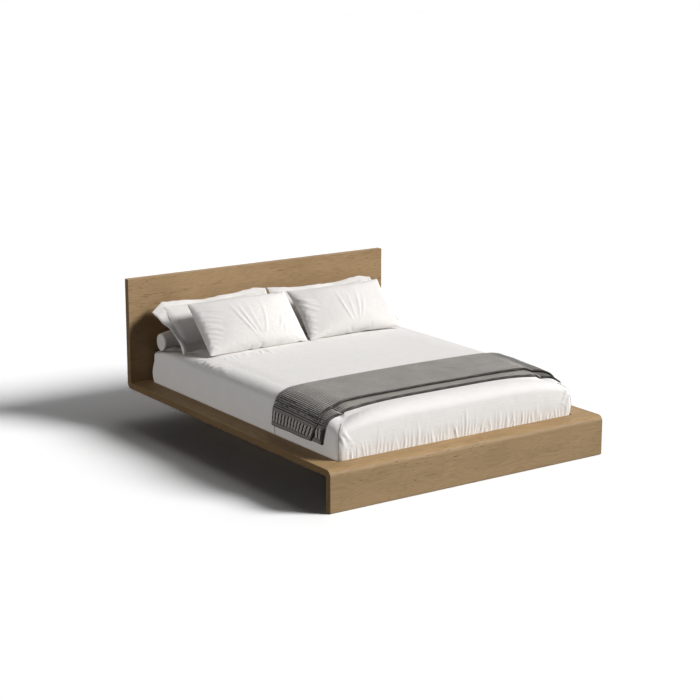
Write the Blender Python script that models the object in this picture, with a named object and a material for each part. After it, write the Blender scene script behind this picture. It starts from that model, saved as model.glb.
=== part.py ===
"""A low bed of solid oak: headboard, deck and foot panel turn into each other at mitred corners,
the head end floats on a set-back base, and the mattress with its bedding lies in a shallow well.

Metres, +Z up, +X to the right of someone lying on the bed, +Y towards the headboard.
The origin is on the floor, under the centre of the bed.
"""

import math

import bmesh
import bpy
from mathutils import Vector
from mathutils.bvhtree import BVHTree

for old in list(bpy.data.objects):
    bpy.data.objects.remove(old, do_unlink=True)

# Heights above the floor
HEADBOARD_HEIGHT = 0.870
DECK_HEIGHT = 0.232

# Oak boards: the deck's four border the well that the mattress lies in
SIDE_BOARD_WIDTH = 0.127
FOOT_BOARD_DEPTH = 0.115
HEAD_BOARD_DEPTH = 0.069
DECK_THICKNESS = 0.038
HEADBOARD_THICKNESS = 0.040
FOOT_PANEL_THICKNESS = 0.040
CORNER_RADIUS = 0.035
CORNER_STEPS = 6
EDGE_EASING = 0.002

# Clearances: pieces that seat on each other, a tenon in its mortise, the mattress in its well
SEAT_GAP = 0.0003
MATTRESS_CLEARANCE = 0.008

# Mattress and the sheet over it
MATTRESS_WIDTH = 1.600
MATTRESS_LENGTH = 2.000
MATTRESS_EDGE_HEIGHT = 0.200
MATTRESS_CROWN = 0.052
MATTRESS_DOME = 0.014
MATTRESS_CORNER_FALL_SHARE = 5.5
MATTRESS_CORNER_RADIUS = 0.038
MATTRESS_CORNER_STEPS = 3
MATTRESS_SHOULDER_WIDTH = 0.085
MATTRESS_SHOULDER_DROP = 0.050
MATTRESS_BULGE = 0.009
MATTRESS_FOOT_ROUND = 0.012
SHEET_THICKNESS = 0.0025

# Joinery: a loose tongue in each mitre, a loose tenon in each corner of the deck
TONGUE_THICKNESS = 0.006
TONGUE_WIDTH = 0.024
TONGUE_END_STOP = 0.060
TENON_WIDTH = 0.060
TENON_LENGTH = 0.044
TENON_THICKNESS = 0.010

# Slats, the cleats and bearers under them, and the base
SLAT_COUNT = 9
SLAT_WIDTH = 0.120
SLAT_THICKNESS = 0.018
SLAT_END_CLEARANCE = 0.003
SLAT_SIDE_CLEARANCE = 0.010
CLEAT_REACH = 0.030
CLEAT_THICKNESS = 0.025
CLEAT_END_SETBACK = 0.018
BEARER_WIDTH = 0.090
BEARER_THICKNESS = 0.045
BEARER_END_SETBACK = 0.085
BEARER_PLACE_SHARES = (0.323, 0.595, 0.868)
RAIL_SPACING = 0.800
RAIL_WIDTH = 0.042
RAIL_HEIGHT = 0.060
RAIL_OVERHANG = 0.020
LEG_WIDTH = 0.060
GLIDE_THICKNESS = 0.005
GLIDE_RADIUS = 0.022
GLIDE_SIDES = 24
PANEL_GLIDE_THICKNESS = 0.003
PANEL_GLIDE_WIDTH = 0.030
PANEL_GLIDE_LENGTH = 0.060
PANEL_GLIDE_SETBACK = 0.080

# Steel: flat plates under the deck's corners, angles behind the mattress
PLATE_LENGTH = 0.120
PLATE_WIDTH = 0.084
PLATE_THICKNESS = 0.003
ANGLE_WIDTH = 0.060
ANGLE_HEIGHT = 0.090
ANGLE_THICKNESS = 0.004
ANGLE_SETBACK = 0.300

# Pillows: the rear pair has a flat flange round it, the front pair has plain edges
PILLOW_WIDTH = 0.685
PILLOW_HEIGHT = 0.370
PILLOW_FRONT_CROWN = 0.078
PILLOW_BACK_CROWN = 0.050
PILLOW_LEAN = math.radians(45)
PILLOW_SEAM_SETBACK = 0.510
PILLOW_PAIR_CENTRE = 0.351
SHAM_WIDTH = 0.780
SHAM_HEIGHT = 0.440
SHAM_FLANGE = 0.040
SHAM_FRONT_CROWN = 0.034
SHAM_BACK_CROWN = 0.068
SHAM_LEAN = math.radians(36)
SHAM_SEAM_SETBACK = 0.392
SHAM_PAIR_CENTRE = 0.399
CASE_EDGE = 0.003
PILLOW_DRAW_IN_SHARE = 0.035
PILLOW_COLUMNS = 14
PILLOW_ROWS = 12
PILLOW_SOFTNESS_SHARE = 0.75

BOLSTER_LENGTH = 1.560
BOLSTER_RADIUS = 0.053
BOLSTER_BACK_SETBACK = 0.052
BOLSTER_END_ROUND = 0.012
BOLSTER_SIDES = 16
BOLSTER_RINGS = 12

# The throw is folded once along its length: its lower half shows past the upper one
THROW_LAYER = 0.009
THROW_EASE = 0.0006
THROW_BACK_REACH = 0.617
THROW_UPPER_DEPTH = 0.410
THROW_LOWER_DEPTH = 0.505
THROW_HEM_HEIGHT = 0.285
THROW_HEM_SKEW = 0.030
THROW_FOLD_DEPTH = 0.005
THROW_FOLD_PITCH = 0.220
THROW_ACROSS_STATIONS = 10

# Levels and edges that follow from the sizes above
WELL_LENGTH = MATTRESS_LENGTH + 2 * MATTRESS_CLEARANCE
BED_LENGTH = FOOT_BOARD_DEPTH + WELL_LENGTH + HEAD_BOARD_DEPTH
HEAD_FACE = BED_LENGTH / 2
FOOT_FACE = -BED_LENGTH / 2
WELL_SIDE = MATTRESS_WIDTH / 2 + MATTRESS_CLEARANCE
WELL_FOOT = FOOT_FACE + FOOT_BOARD_DEPTH
WELL_HEAD = HEAD_FACE - HEAD_BOARD_DEPTH
HALF_WIDTH = WELL_SIDE + SIDE_BOARD_WIDTH
BED_WIDTH = 2 * HALF_WIDTH
MATTRESS_FOOT = WELL_FOOT + MATTRESS_CLEARANCE
MATTRESS_HEAD = WELL_HEAD - MATTRESS_CLEARANCE
MATTRESS_MIDDLE = (MATTRESS_FOOT + MATTRESS_HEAD) / 2
DECK_UNDERSIDE = DECK_HEIGHT - DECK_THICKNESS
SLAT_TOP = DECK_UNDERSIDE + SLAT_THICKNESS
MATTRESS_BASE = SLAT_TOP + SEAT_GAP
UNDER_DECK = DECK_UNDERSIDE - SEAT_GAP
UNDER_BEARER = UNDER_DECK - BEARER_THICKNESS - SEAT_GAP
UNDER_RAIL = UNDER_BEARER - RAIL_HEIGHT - SEAT_GAP
PANEL_FOOT = PANEL_GLIDE_THICKNESS + SEAT_GAP
HEADBOARD_INNER = HEAD_FACE - HEADBOARD_THICKNESS
PANEL_INNER = FOOT_FACE + FOOT_PANEL_THICKNESS


def principled(name, colour, roughness, metallic=0.0):
    made = bpy.data.materials.new(name)
    made.use_nodes = True
    shader = made.node_tree.nodes["Principled BSDF"]
    shader.inputs["Base Color"].default_value = (*colour, 1.0)
    shader.inputs["Roughness"].default_value = roughness
    shader.inputs["Metallic"].default_value = metallic
    return made


OAK = principled("oiled_oak", (0.36, 0.23, 0.13), 0.55)
PINE = principled("planed_pine", (0.58, 0.42, 0.25), 0.60)
BEECH = principled("beech", (0.55, 0.38, 0.24), 0.55)
STEEL = principled("zinc_plated_steel", (0.55, 0.55, 0.55), 0.35, 1.0)
NYLON = principled("black_nylon", (0.03, 0.03, 0.03), 0.50)
FELT = principled("felt", (0.10, 0.09, 0.08), 0.95)
TICKING = principled("mattress_ticking", (0.75, 0.74, 0.72), 0.90)
COTTON = principled("white_cotton", (0.80, 0.79, 0.78), 0.85)
WOOL = principled("grey_knit", (0.30, 0.29, 0.28), 0.95)


def add_mesh(name, points, faces, material, smooth=False):
    """One closed piece from its corner points and faces, with all faces turned outwards."""
    mesh = bpy.data.meshes.new(name)
    mesh.from_pydata([tuple(point) for point in points], [], faces)
    shape = bmesh.new()
    shape.from_mesh(mesh)
    bmesh.ops.recalc_face_normals(shape, faces=shape.faces)
    shape.to_mesh(mesh)
    shape.free()
    mesh.materials.append(material)
    if smooth:
        mesh.shade_smooth()
    made = bpy.data.objects.new(name, mesh)
    bpy.context.scene.collection.objects.link(made)
    return made


def box(name, low, high, material, easing=0.0):
    """A planed board or block between two corners, its edges eased where it shows."""
    middle = [(a + b) / 2 for a, b in zip(low, high)]
    half = [(b - a) / 2 for a, b in zip(low, high)]
    signs = [(i, j, k) for i in (-1, 1) for j in (-1, 1) for k in (-1, 1)]
    points = [[s * h for s, h in zip(sign, half)] for sign in signs]
    faces = [(0, 1, 3, 2), (4, 6, 7, 5), (0, 4, 5, 1), (2, 3, 7, 6), (0, 2, 6, 4), (1, 5, 7, 3)]
    made = add_mesh(name, points, faces, material)
    made.location = middle
    if easing:
        bevel = made.modifiers.new("eased_edges", "BEVEL")
        bevel.width = easing
        bevel.segments = 1
    return made


def strip(name, outline, low, high, material):
    """A board of one section from end to end: its outline in Y and Z, drawn out along X."""
    count = len(outline)
    points = [(x, y, z) for x in (low, high) for y, z in outline]
    faces = [tuple(range(count)), tuple(range(count, 2 * count))]
    for i in range(count):
        j = (i + 1) % count
        faces.append((i, j, count + j, count + i))
    return add_mesh(name, points, faces, material)


def cut(piece, cutter):
    slot = piece.modifiers.new("cut_" + cutter.name, "BOOLEAN")
    slot.operation = "DIFFERENCE"
    slot.object = cutter


def cutter_box(name, centre, size, turn=0.0):
    """A cutting block about its centre, turned round the X axis."""
    half = [side / 2 for side in size]
    made = box(name, [-h for h in half], half, OAK)
    made.location = centre
    made.rotation_euler = (turn, 0, 0)
    made.hide_render = True
    made.display_type = "WIRE"
    return made


# Head and foot corners
# Each corner is drawn in its own plane: "along" runs from the outer face of the panel into the
# deck, "down" from the outer face of the deck into the panel. The outer corner is rounded and the
# mitre runs from the middle of that rounding to the inner corner.


def rounding(first_turn, last_turn):
    """Points of the outer rounding, as (along, down), from the panel's side to the deck's."""
    turns = [first_turn + (last_turn - first_turn) * i / CORNER_STEPS for i in range(CORNER_STEPS + 1)]
    return [(CORNER_RADIUS * (1 - math.cos(t)), CORNER_RADIUS * (1 - math.sin(t))) for t in turns]


def deck_section(depth, panel_thickness):
    arc = [(along + SEAT_GAP / 2, down) for along, down in rounding(math.pi / 4, math.pi / 2)]
    inner = (panel_thickness + SEAT_GAP / 2, DECK_THICKNESS)
    return arc + [(depth, 0), (depth, DECK_THICKNESS), inner]


def panel_section(length, panel_thickness):
    arc = [(along, down + SEAT_GAP / 2) for along, down in rounding(0, math.pi / 4)]
    inner = (panel_thickness, DECK_THICKNESS + SEAT_GAP / 2)
    return arc + [inner, (panel_thickness, length), (0, length)]


def at_foot(section):
    return [(FOOT_FACE + along, DECK_HEIGHT - down) for along, down in section]


def at_head(section):
    return [(HEAD_FACE - along, DECK_UNDERSIDE + down) for along, down in section]


def mitre_tongue(name, place, panel_thickness, pieces):
    """The loose tongue square across a mitre, and its stopped slot in both boards."""
    outer = CORNER_RADIUS * (1 - math.cos(math.pi / 4))
    middle = ((outer + panel_thickness) / 2, (outer + DECK_THICKNESS) / 2)
    ((y, z),) = place([middle])
    mitre_slope = math.atan2(DECK_THICKNESS - outer, panel_thickness - outer)
    turn = math.pi / 2 - mitre_slope
    length = BED_WIDTH - 2 * TONGUE_END_STOP
    slack = 2 * SEAT_GAP
    slot = (length + slack, TONGUE_WIDTH + slack, TONGUE_THICKNESS + slack)
    cutter = cutter_box(name + "_slot", (0, y, z), slot, turn)
    for piece in pieces:
        cut(piece, cutter)
    half = (length / 2, TONGUE_WIDTH / 2, TONGUE_THICKNESS / 2)
    made = box(name, [-h for h in half], half, BEECH)
    made.location = (0, y, z)
    made.rotation_euler = (turn, 0, 0)


headboard = strip(
    "headboard_panel",
    at_head(panel_section(HEADBOARD_HEIGHT - DECK_UNDERSIDE, HEADBOARD_THICKNESS)),
    -HALF_WIDTH,
    HALF_WIDTH,
    OAK,
)
head_board = strip(
    "head_deck_board",
    at_head(deck_section(HEAD_BOARD_DEPTH, HEADBOARD_THICKNESS)),
    -HALF_WIDTH,
    HALF_WIDTH,
    OAK,
)
foot_board = strip(
    "foot_deck_board",
    at_foot(deck_section(FOOT_BOARD_DEPTH, FOOT_PANEL_THICKNESS)),
    -HALF_WIDTH,
    HALF_WIDTH,
    OAK,
)
foot_panel = strip(
    "foot_panel",
    at_foot(panel_section(DECK_HEIGHT - PANEL_FOOT, FOOT_PANEL_THICKNESS)),
    -HALF_WIDTH,
    HALF_WIDTH,
    OAK,
)
mitre_tongue("head_mitre_tongue", at_head, HEADBOARD_THICKNESS, (headboard, head_board))
mitre_tongue("foot_mitre_tongue", at_foot, FOOT_PANEL_THICKNESS, (foot_board, foot_panel))

# Side boards of the deck, each tenoned into the head and foot boards
SIDES = (("left", -1), ("right", 1))
DECK_MIDDLE = DECK_HEIGHT - DECK_THICKNESS / 2
SIDE_MIDDLE = WELL_SIDE + SIDE_BOARD_WIDTH / 2
for side, sign in SIDES:
    edges = sorted((sign * WELL_SIDE, sign * HALF_WIDTH))
    low = (edges[0], WELL_FOOT + SEAT_GAP, DECK_UNDERSIDE)
    high = (edges[1], WELL_HEAD - SEAT_GAP, DECK_HEIGHT)
    side_board = box(side + "_deck_board", low, high, OAK)
    for end, y, end_board in (("foot", WELL_FOOT, foot_board), ("head", WELL_HEAD, head_board)):
        name = f"{end}_{side}_deck_tenon"
        half = (TENON_WIDTH / 2, TENON_LENGTH / 2, TENON_THICKNESS / 2)
        tenon = box(name, [-h for h in half], half, BEECH)
        tenon.location = (sign * SIDE_MIDDLE, y, DECK_MIDDLE)
        mortise = [2 * (h + SEAT_GAP) for h in half]
        cutter = cutter_box(name + "_mortise", tenon.location, mortise)
        cut(side_board, cutter)
        cut(end_board, cutter)

# Cleats that carry the slats' ends: the foot one also braces the corner behind the foot panel
cleat_end = WELL_SIDE - CLEAT_END_SETBACK
cleat_low = UNDER_DECK - CLEAT_THICKNESS
box(
    "foot_slat_cleat",
    (-cleat_end, PANEL_INNER + SEAT_GAP, cleat_low),
    (cleat_end, WELL_FOOT + CLEAT_REACH, UNDER_DECK),
    PINE,
)
box(
    "head_slat_cleat",
    (-cleat_end, WELL_HEAD - CLEAT_REACH, cleat_low),
    (cleat_end, HEAD_FACE - CORNER_RADIUS, UNDER_DECK),
    PINE,
)

# Bearers run across under the whole deck
bearer_end = HALF_WIDTH - BEARER_END_SETBACK
bearer_places = [FOOT_FACE + share * BED_LENGTH for share in BEARER_PLACE_SHARES]
BEARER_NAMES = ("foot_bearer", "middle_bearer", "head_bearer")
for name, y in zip(BEARER_NAMES, bearer_places):
    box(
        name,
        (-bearer_end, y - BEARER_WIDTH / 2, UNDER_DECK - BEARER_THICKNESS),
        (bearer_end, y + BEARER_WIDTH / 2, UNDER_DECK),
        OAK,
        EDGE_EASING,
    )

# Slats lie lengthwise on the cleats and bearers, evenly spread over the well
first_slat = -WELL_SIDE + SLAT_SIDE_CLEARANCE + SLAT_WIDTH / 2
slat_pitch = -2 * first_slat / (SLAT_COUNT - 1)
for i in range(SLAT_COUNT):
    x = first_slat + i * slat_pitch
    box(
        f"slat_{i + 1}",
        (x - SLAT_WIDTH / 2, WELL_FOOT + SLAT_END_CLEARANCE, DECK_UNDERSIDE),
        (x + SLAT_WIDTH / 2, WELL_HEAD - SLAT_END_CLEARANCE, SLAT_TOP),
        PINE,
        EDGE_EASING,
    )


# The set-back base: two rails, a leg under each crossing, a glide under each leg
def disc(name, x, y, low, high, radius, material):
    shape = bmesh.new()
    bmesh.ops.create_cone(
        shape, cap_ends=True, segments=GLIDE_SIDES, radius1=radius, radius2=radius, depth=high - low
    )
    mesh = bpy.data.meshes.new(name)
    shape.to_mesh(mesh)
    shape.free()
    mesh.shade_smooth()
    mesh.set_sharp_from_angle(angle=math.radians(30))
    mesh.materials.append(material)
    made = bpy.data.objects.new(name, mesh)
    made.location = (x, y, (low + high) / 2)
    bpy.context.scene.collection.objects.link(made)


rail_reach = BEARER_WIDTH / 2 + RAIL_OVERHANG
for side, sign in SIDES:
    x = sign * RAIL_SPACING / 2
    box(
        side + "_base_rail",
        (x - RAIL_WIDTH / 2, bearer_places[0] - rail_reach, UNDER_BEARER - RAIL_HEIGHT),
        (x + RAIL_WIDTH / 2, bearer_places[-1] + rail_reach, UNDER_BEARER),
        OAK,
        EDGE_EASING,
    )
    for end, y in zip(("foot", "middle", "head"), bearer_places):
        leg_low = GLIDE_THICKNESS + SEAT_GAP
        box(
            f"{end}_{side}_leg",
            (x - LEG_WIDTH / 2, y - LEG_WIDTH / 2, leg_low),
            (x + LEG_WIDTH / 2, y + LEG_WIDTH / 2, UNDER_RAIL),
            OAK,
            EDGE_EASING,
        )
        disc(f"{end}_{side}_glide", x, y, 0, GLIDE_THICKNESS, GLIDE_RADIUS, NYLON)

panel_middle = FOOT_FACE + FOOT_PANEL_THICKNESS / 2
panel_glide_reach = HALF_WIDTH - PANEL_GLIDE_SETBACK
for name, x in (("left", -panel_glide_reach), ("centre", 0), ("right", panel_glide_reach)):
    box(
        f"foot_panel_{name}_pad",
        (x - PANEL_GLIDE_LENGTH / 2, panel_middle - PANEL_GLIDE_WIDTH / 2, 0),
        (x + PANEL_GLIDE_LENGTH / 2, panel_middle + PANEL_GLIDE_WIDTH / 2, PANEL_GLIDE_THICKNESS),
        FELT,
    )

# Steel plates under the four corner joints of the deck
for side, sign in SIDES:
    edges = sorted((sign * WELL_SIDE, sign * (WELL_SIDE + PLATE_WIDTH)))
    plate_foot = PANEL_INNER + SEAT_GAP
    plate_head = HEAD_FACE - CORNER_RADIUS
    for end, low_y, high_y in (
        ("foot", plate_foot, plate_foot + PLATE_LENGTH),
        ("head", plate_head - PLATE_LENGTH, plate_head),
    ):
        box(
            f"{end}_{side}_corner_plate",
            (edges[0], low_y, UNDER_DECK - PLATE_THICKNESS),
            (edges[1], high_y, UNDER_DECK),
            STEEL,
        )

# Steel angles that tie the headboard to the deck, in the gap behind the mattress
angle_back = HEADBOARD_INNER - SEAT_GAP
angle_base = DECK_HEIGHT + SEAT_GAP
angle_front = WELL_HEAD + SEAT_GAP
angle_outline = [
    (angle_front, angle_base),
    (angle_back, angle_base),
    (angle_back, angle_base + ANGLE_HEIGHT),
    (angle_back - ANGLE_THICKNESS, angle_base + ANGLE_HEIGHT),
    (angle_back - ANGLE_THICKNESS, angle_base + ANGLE_THICKNESS),
    (angle_front, angle_base + ANGLE_THICKNESS),
]
angle_reach = HALF_WIDTH - ANGLE_SETBACK
for name, x in (("left", -angle_reach), ("centre", 0), ("right", angle_reach)):
    low, high = x - ANGLE_WIDTH / 2, x + ANGLE_WIDTH / 2
    strip(f"headboard_{name}_angle", angle_outline, low, high, STEEL)


# Mattress and fitted sheet
# Both follow one surface: rings that climb the side wall, turn over a rounded shoulder and close
# over the crown. The crown is highest in the middle and falls away at the four corners.


def crown_height(x, y):
    """Height of the bare mattress's upper face over a point of the bed."""
    across = min(abs(x) / (MATTRESS_WIDTH / 2), 1)
    along = min(abs(y - MATTRESS_MIDDLE) / (MATTRESS_LENGTH / 2), 1)
    fall = (across * along) ** MATTRESS_CORNER_FALL_SHARE
    dome = (1 - across**2) * (1 - along**2)
    edge = MATTRESS_BASE + MATTRESS_EDGE_HEIGHT
    return edge + MATTRESS_CROWN * (1 - fall) + MATTRESS_DOME * dome


def shoulder_height(x, y):
    return crown_height(x, y) - MATTRESS_SHOULDER_DROP


SIDE_SHARES = (0.0, 0.30, 0.60, 0.85)
WALL_SHARES = (0.08, 0.30, 0.50, 0.70, 1.0)
SHOULDER_TURNS = tuple(math.radians(turn) for turn in (22, 45, 68, 90))
CROWN_SHARES = (0.84, 0.66, 0.44, 0.20)


def mattress_outline():
    """The plan of the mattress about its middle: straight sides and quarter-round corners."""
    half_x, half_y, radius = MATTRESS_WIDTH / 2, MATTRESS_LENGTH / 2, MATTRESS_CORNER_RADIUS
    quarter = [(half_x, (half_y - radius) * share) for share in SIDE_SHARES]
    for i in range(MATTRESS_CORNER_STEPS + 1):
        turn = math.pi / 2 * i / MATTRESS_CORNER_STEPS
        x = half_x - radius * (1 - math.cos(turn))
        y = half_y - radius * (1 - math.sin(turn))
        quarter.append((x, y))
    quarter += [((half_x - radius) * share, half_y) for share in SIDE_SHARES[:0:-1]]
    upper = quarter + [(-x, y) for x, y in [(0.0, half_y)] + quarter[:0:-1]]
    return upper + [(-x, -y) for x, y in upper]


def mattress_ring(outset, climb_share, rise=0.0):
    """One ring: the plan grown by an outset, at a share of the way up the wall plus a rise."""
    points = []
    for x, y in mattress_outline():
        grown_x = x * (1 + outset / (MATTRESS_WIDTH / 2))
        grown_y = MATTRESS_MIDDLE + y * (1 + outset / (MATTRESS_LENGTH / 2))
        wall = shoulder_height(x, MATTRESS_MIDDLE + y) - MATTRESS_BASE
        points.append((grown_x, grown_y, MATTRESS_BASE + climb_share * wall + rise))
    return points


def mattress_rings(skin):
    """The surface at a distance outside the bare mattress, from near its foot to its crown."""
    rings = []
    for share in WALL_SHARES:
        outset = skin + MATTRESS_BULGE * math.sin(math.pi * share)
        rings.append(mattress_ring(outset, share))
    for turn in SHOULDER_TURNS:
        outset = skin - (MATTRESS_SHOULDER_WIDTH + skin) * (1 - math.cos(turn))
        rise = (MATTRESS_SHOULDER_DROP + skin) * math.sin(turn)
        rings.append(mattress_ring(outset, 1, rise))
    for share in CROWN_SHARES:
        ring = []
        for x, y in mattress_outline():
            inner_x, inner_y = x * share, MATTRESS_MIDDLE + y * share
            ring.append((inner_x, inner_y, crown_height(inner_x, inner_y) + skin))
        rings.append(ring)
    return rings


def ring_faces(count, first, second):
    """Quads between two rings of points that start at the given places in the list."""
    return [(first + i, first + (i + 1) % count, second + (i + 1) % count, second + i) for i in range(count)]


def stacked(rings, centre):
    """Points and faces of rings one above the other, closed at the last by a centre point."""
    count = len(rings[0])
    points = [point for ring in rings for point in ring] + [centre]
    faces = []
    for i in range(len(rings) - 1):
        faces += ring_faces(count, i * count, (i + 1) * count)
    last, tip = (len(rings) - 1) * count, len(points) - 1
    faces += [(last + i, last + (i + 1) % count, tip) for i in range(count)]
    return points, faces


def mattress():
    base_ring = mattress_ring(-MATTRESS_FOOT_ROUND, 0)
    crown = (0, MATTRESS_MIDDLE, crown_height(0, MATTRESS_MIDDLE))
    points, faces = stacked([base_ring] + mattress_rings(0), crown)
    faces.append(tuple(range(len(base_ring))))
    add_mesh("mattress", points, faces, TICKING, smooth=True)


def fitted_sheet():
    """A thin shell over the mattress, open below."""
    top = crown_height(0, MATTRESS_MIDDLE)
    near, far = SEAT_GAP, SEAT_GAP + SHEET_THICKNESS
    inner, inner_faces = stacked(mattress_rings(near), (0, MATTRESS_MIDDLE, top + near))
    outer, outer_faces = stacked(mattress_rings(far), (0, MATTRESS_MIDDLE, top + far))
    shift = len(inner)
    faces = inner_faces + [tuple(i + shift for i in face) for face in outer_faces]
    faces += ring_faces(len(mattress_outline()), 0, shift)
    add_mesh("fitted_sheet", inner + outer, faces, COTTON, smooth=True)
    return outer, outer_faces


mattress()
SHEET_POINTS, SHEET_FACES = fitted_sheet()
SHEET_SURFACE = BVHTree.FromPolygons(SHEET_POINTS, SHEET_FACES)
EDGE_SAMPLES = 6
UP = Vector((0, 0, 1))


def edge_samples(points, faces):
    """Places spread evenly along every edge of a shape."""
    edges = {tuple(sorted(pair)) for face in faces for pair in zip(face, face[1:] + face[:1])}
    samples = []
    for first, second in sorted(edges):
        for i in range(EDGE_SAMPLES + 1):
            samples.append(Vector(points[first]).lerp(Vector(points[second]), i / EDGE_SAMPLES))
    return samples


def lower_onto_sheet(points, faces):
    """Moves a soft piece straight down or up until it just seats on the sheet."""
    underside = BVHTree.FromPolygons(points, faces)
    drops = []
    for place in edge_samples(points, faces):
        below = SHEET_SURFACE.ray_cast(Vector((place.x, place.y, HEADBOARD_HEIGHT)), -UP)[0]
        if below:
            drops.append(place.z - below.z)
    for place in edge_samples(SHEET_POINTS, SHEET_FACES):
        above = underside.ray_cast(Vector((place.x, place.y, 0)), UP)[0]
        if above:
            drops.append(above.z - place.z)
    drop = min(drops) - SEAT_GAP
    return [(x, y, z - drop) for x, y, z in points]


def pillow(name, centre, seam, width, height, front_crown, back_crown, lean, flange, material):
    """A filled case leaning back: its faces swell from the seam, its sides draw in between the
    corners, and a flange, where there is one, stays flat round the filling."""
    up = Vector((0, math.cos(lean), math.sin(lean)))
    front = Vector((0, -math.sin(lean), math.cos(lean)))
    fill_across = 1 - 2 * flange / width
    fill_along = 1 - 2 * flange / height
    sheets = []
    for way, crown in ((1, front_crown), (-1, back_crown)):
        sheet = []
        for row in range(PILLOW_ROWS + 1):
            v = -math.cos(math.pi * row / PILLOW_ROWS)
            for column in range(PILLOW_COLUMNS + 1):
                u = -math.cos(math.pi * column / PILLOW_COLUMNS)
                swell_u = max(0.0, 1 - (u / fill_across) ** 2)
                swell_v = max(0.0, 1 - (v / fill_along) ** 2)
                swell = crown * (swell_u * swell_v) ** PILLOW_SOFTNESS_SHARE
                a = width / 2 * u * (1 - PILLOW_DRAW_IN_SHARE * (1 - v * v))
                b = height / 2 * (1 + v * (1 - PILLOW_DRAW_IN_SHARE * (1 - u * u)))
                place = Vector((centre + a, seam, 0)) + up * b + front * way * (swell + CASE_EDGE / 2)
                sheet.append(place)
        sheets.append(sheet)
    across = PILLOW_COLUMNS + 1
    size = across * (PILLOW_ROWS + 1)
    faces = []
    for row in range(PILLOW_ROWS):
        for column in range(PILLOW_COLUMNS):
            i = row * across + column
            quad = (i, i + 1, i + 1 + across, i + across)
            faces.append(quad)
            faces.append(tuple(size + k for k in reversed(quad)))
    rim = list(range(across))
    rim += [row * across + across - 1 for row in range(1, PILLOW_ROWS + 1)]
    rim += [PILLOW_ROWS * across + column for column in range(across - 2, -1, -1)]
    rim += [row * across for row in range(PILLOW_ROWS - 1, 0, -1)]
    for i, j in zip(rim, rim[1:] + rim[:1]):
        faces.append((j, i, size + i, size + j))
    points = lower_onto_sheet([tuple(place) for place in sheets[0] + sheets[1]], faces)
    add_mesh(name, points, faces, material, smooth=True)


for side, sign in SIDES:
    pillow(
        f"rear_{side}_pillow",
        sign * SHAM_PAIR_CENTRE,
        HEADBOARD_INNER - SHAM_SEAM_SETBACK,
        SHAM_WIDTH,
        SHAM_HEIGHT,
        SHAM_FRONT_CROWN,
        SHAM_BACK_CROWN,
        SHAM_LEAN,
        SHAM_FLANGE,
        COTTON,
    )
    pillow(
        f"front_{side}_pillow",
        sign * PILLOW_PAIR_CENTRE,
        HEADBOARD_INNER - PILLOW_SEAM_SETBACK,
        PILLOW_WIDTH,
        PILLOW_HEIGHT,
        PILLOW_FRONT_CROWN,
        PILLOW_BACK_CROWN,
        PILLOW_LEAN,
        0,
        COTTON,
    )


def bolster():
    """A long round cushion behind the pillows. It is soft, so it follows the mattress's fall."""
    y = HEADBOARD_INNER - BOLSTER_BACK_SETBACK - BOLSTER_RADIUS
    half = BOLSTER_LENGTH / 2
    stations = [half * (2 * i / BOLSTER_RINGS - 1) for i in range(BOLSTER_RINGS + 1)]
    inner = BOLSTER_RADIUS - BOLSTER_END_ROUND
    bends = [(-half, inner)]
    bends += [(-half + BOLSTER_END_ROUND, BOLSTER_RADIUS)]
    bends += [(x, BOLSTER_RADIUS) for x in stations[1:-1]]
    bends += [(half - BOLSTER_END_ROUND, BOLSTER_RADIUS), (half, inner)]
    points, faces = [], []
    for x, radius in bends:
        centre_z = crown_height(x, y) + BOLSTER_RADIUS
        for i in range(BOLSTER_SIDES):
            turn = 2 * math.pi * i / BOLSTER_SIDES
            points.append((x, y + radius * math.cos(turn), centre_z + radius * math.sin(turn)))
    for i in range(len(bends) - 1):
        faces += ring_faces(BOLSTER_SIDES, i * BOLSTER_SIDES, (i + 1) * BOLSTER_SIDES)
    faces.append(tuple(range(BOLSTER_SIDES)))
    faces.append(tuple(range(len(points) - BOLSTER_SIDES, len(points))))
    add_mesh("bolster", lower_onto_sheet(points, faces), faces, COTTON, smooth=True)


bolster()


# Throw
# A blanket folded once lies across the bed and hangs down both sides. Its path climbs from the
# hem, turns over the shoulder of the mattress and crosses the crown.


THROW_HANG_SHARES = (0.0, 0.35, 0.70, 1.0)
THROW_CROWN_SHARES = (0.84, 0.76, 0.66, 0.52, 0.36, 0.18)


def throw_path(y, lift):
    """Points of the path at one place along the bed, at a distance above the sheet."""
    skin = SEAT_GAP + SHEET_THICKNESS + THROW_EASE + lift
    side = MATTRESS_WIDTH / 2
    turn_x = side - MATTRESS_SHOULDER_WIDTH
    turn_z = shoulder_height(side, y)
    ripple = THROW_FOLD_DEPTH * (1 + math.cos(2 * math.pi * y / THROW_FOLD_PITCH)) / 2
    half = []
    for share in THROW_HANG_SHARES:
        hang = 1 - share
        x = side + MATTRESS_BULGE + skin + ripple * hang
        z = THROW_HEM_HEIGHT + share * (turn_z - THROW_HEM_HEIGHT)
        half.append((x, y - THROW_HEM_SKEW * hang, z))
    for turn in SHOULDER_TURNS:
        reach_x = MATTRESS_SHOULDER_WIDTH + MATTRESS_BULGE + skin
        reach_z = MATTRESS_SHOULDER_DROP + skin
        half.append((turn_x + reach_x * math.cos(turn), y, turn_z + reach_z * math.sin(turn)))
    for x in [side * share for share in THROW_CROWN_SHARES]:
        half.append((x, y, crown_height(x, y) + skin))
    middle = [(0, y, crown_height(0, y) + skin)]
    return [(-x, y, z) for x, y, z in half] + middle + half[::-1]


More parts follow.
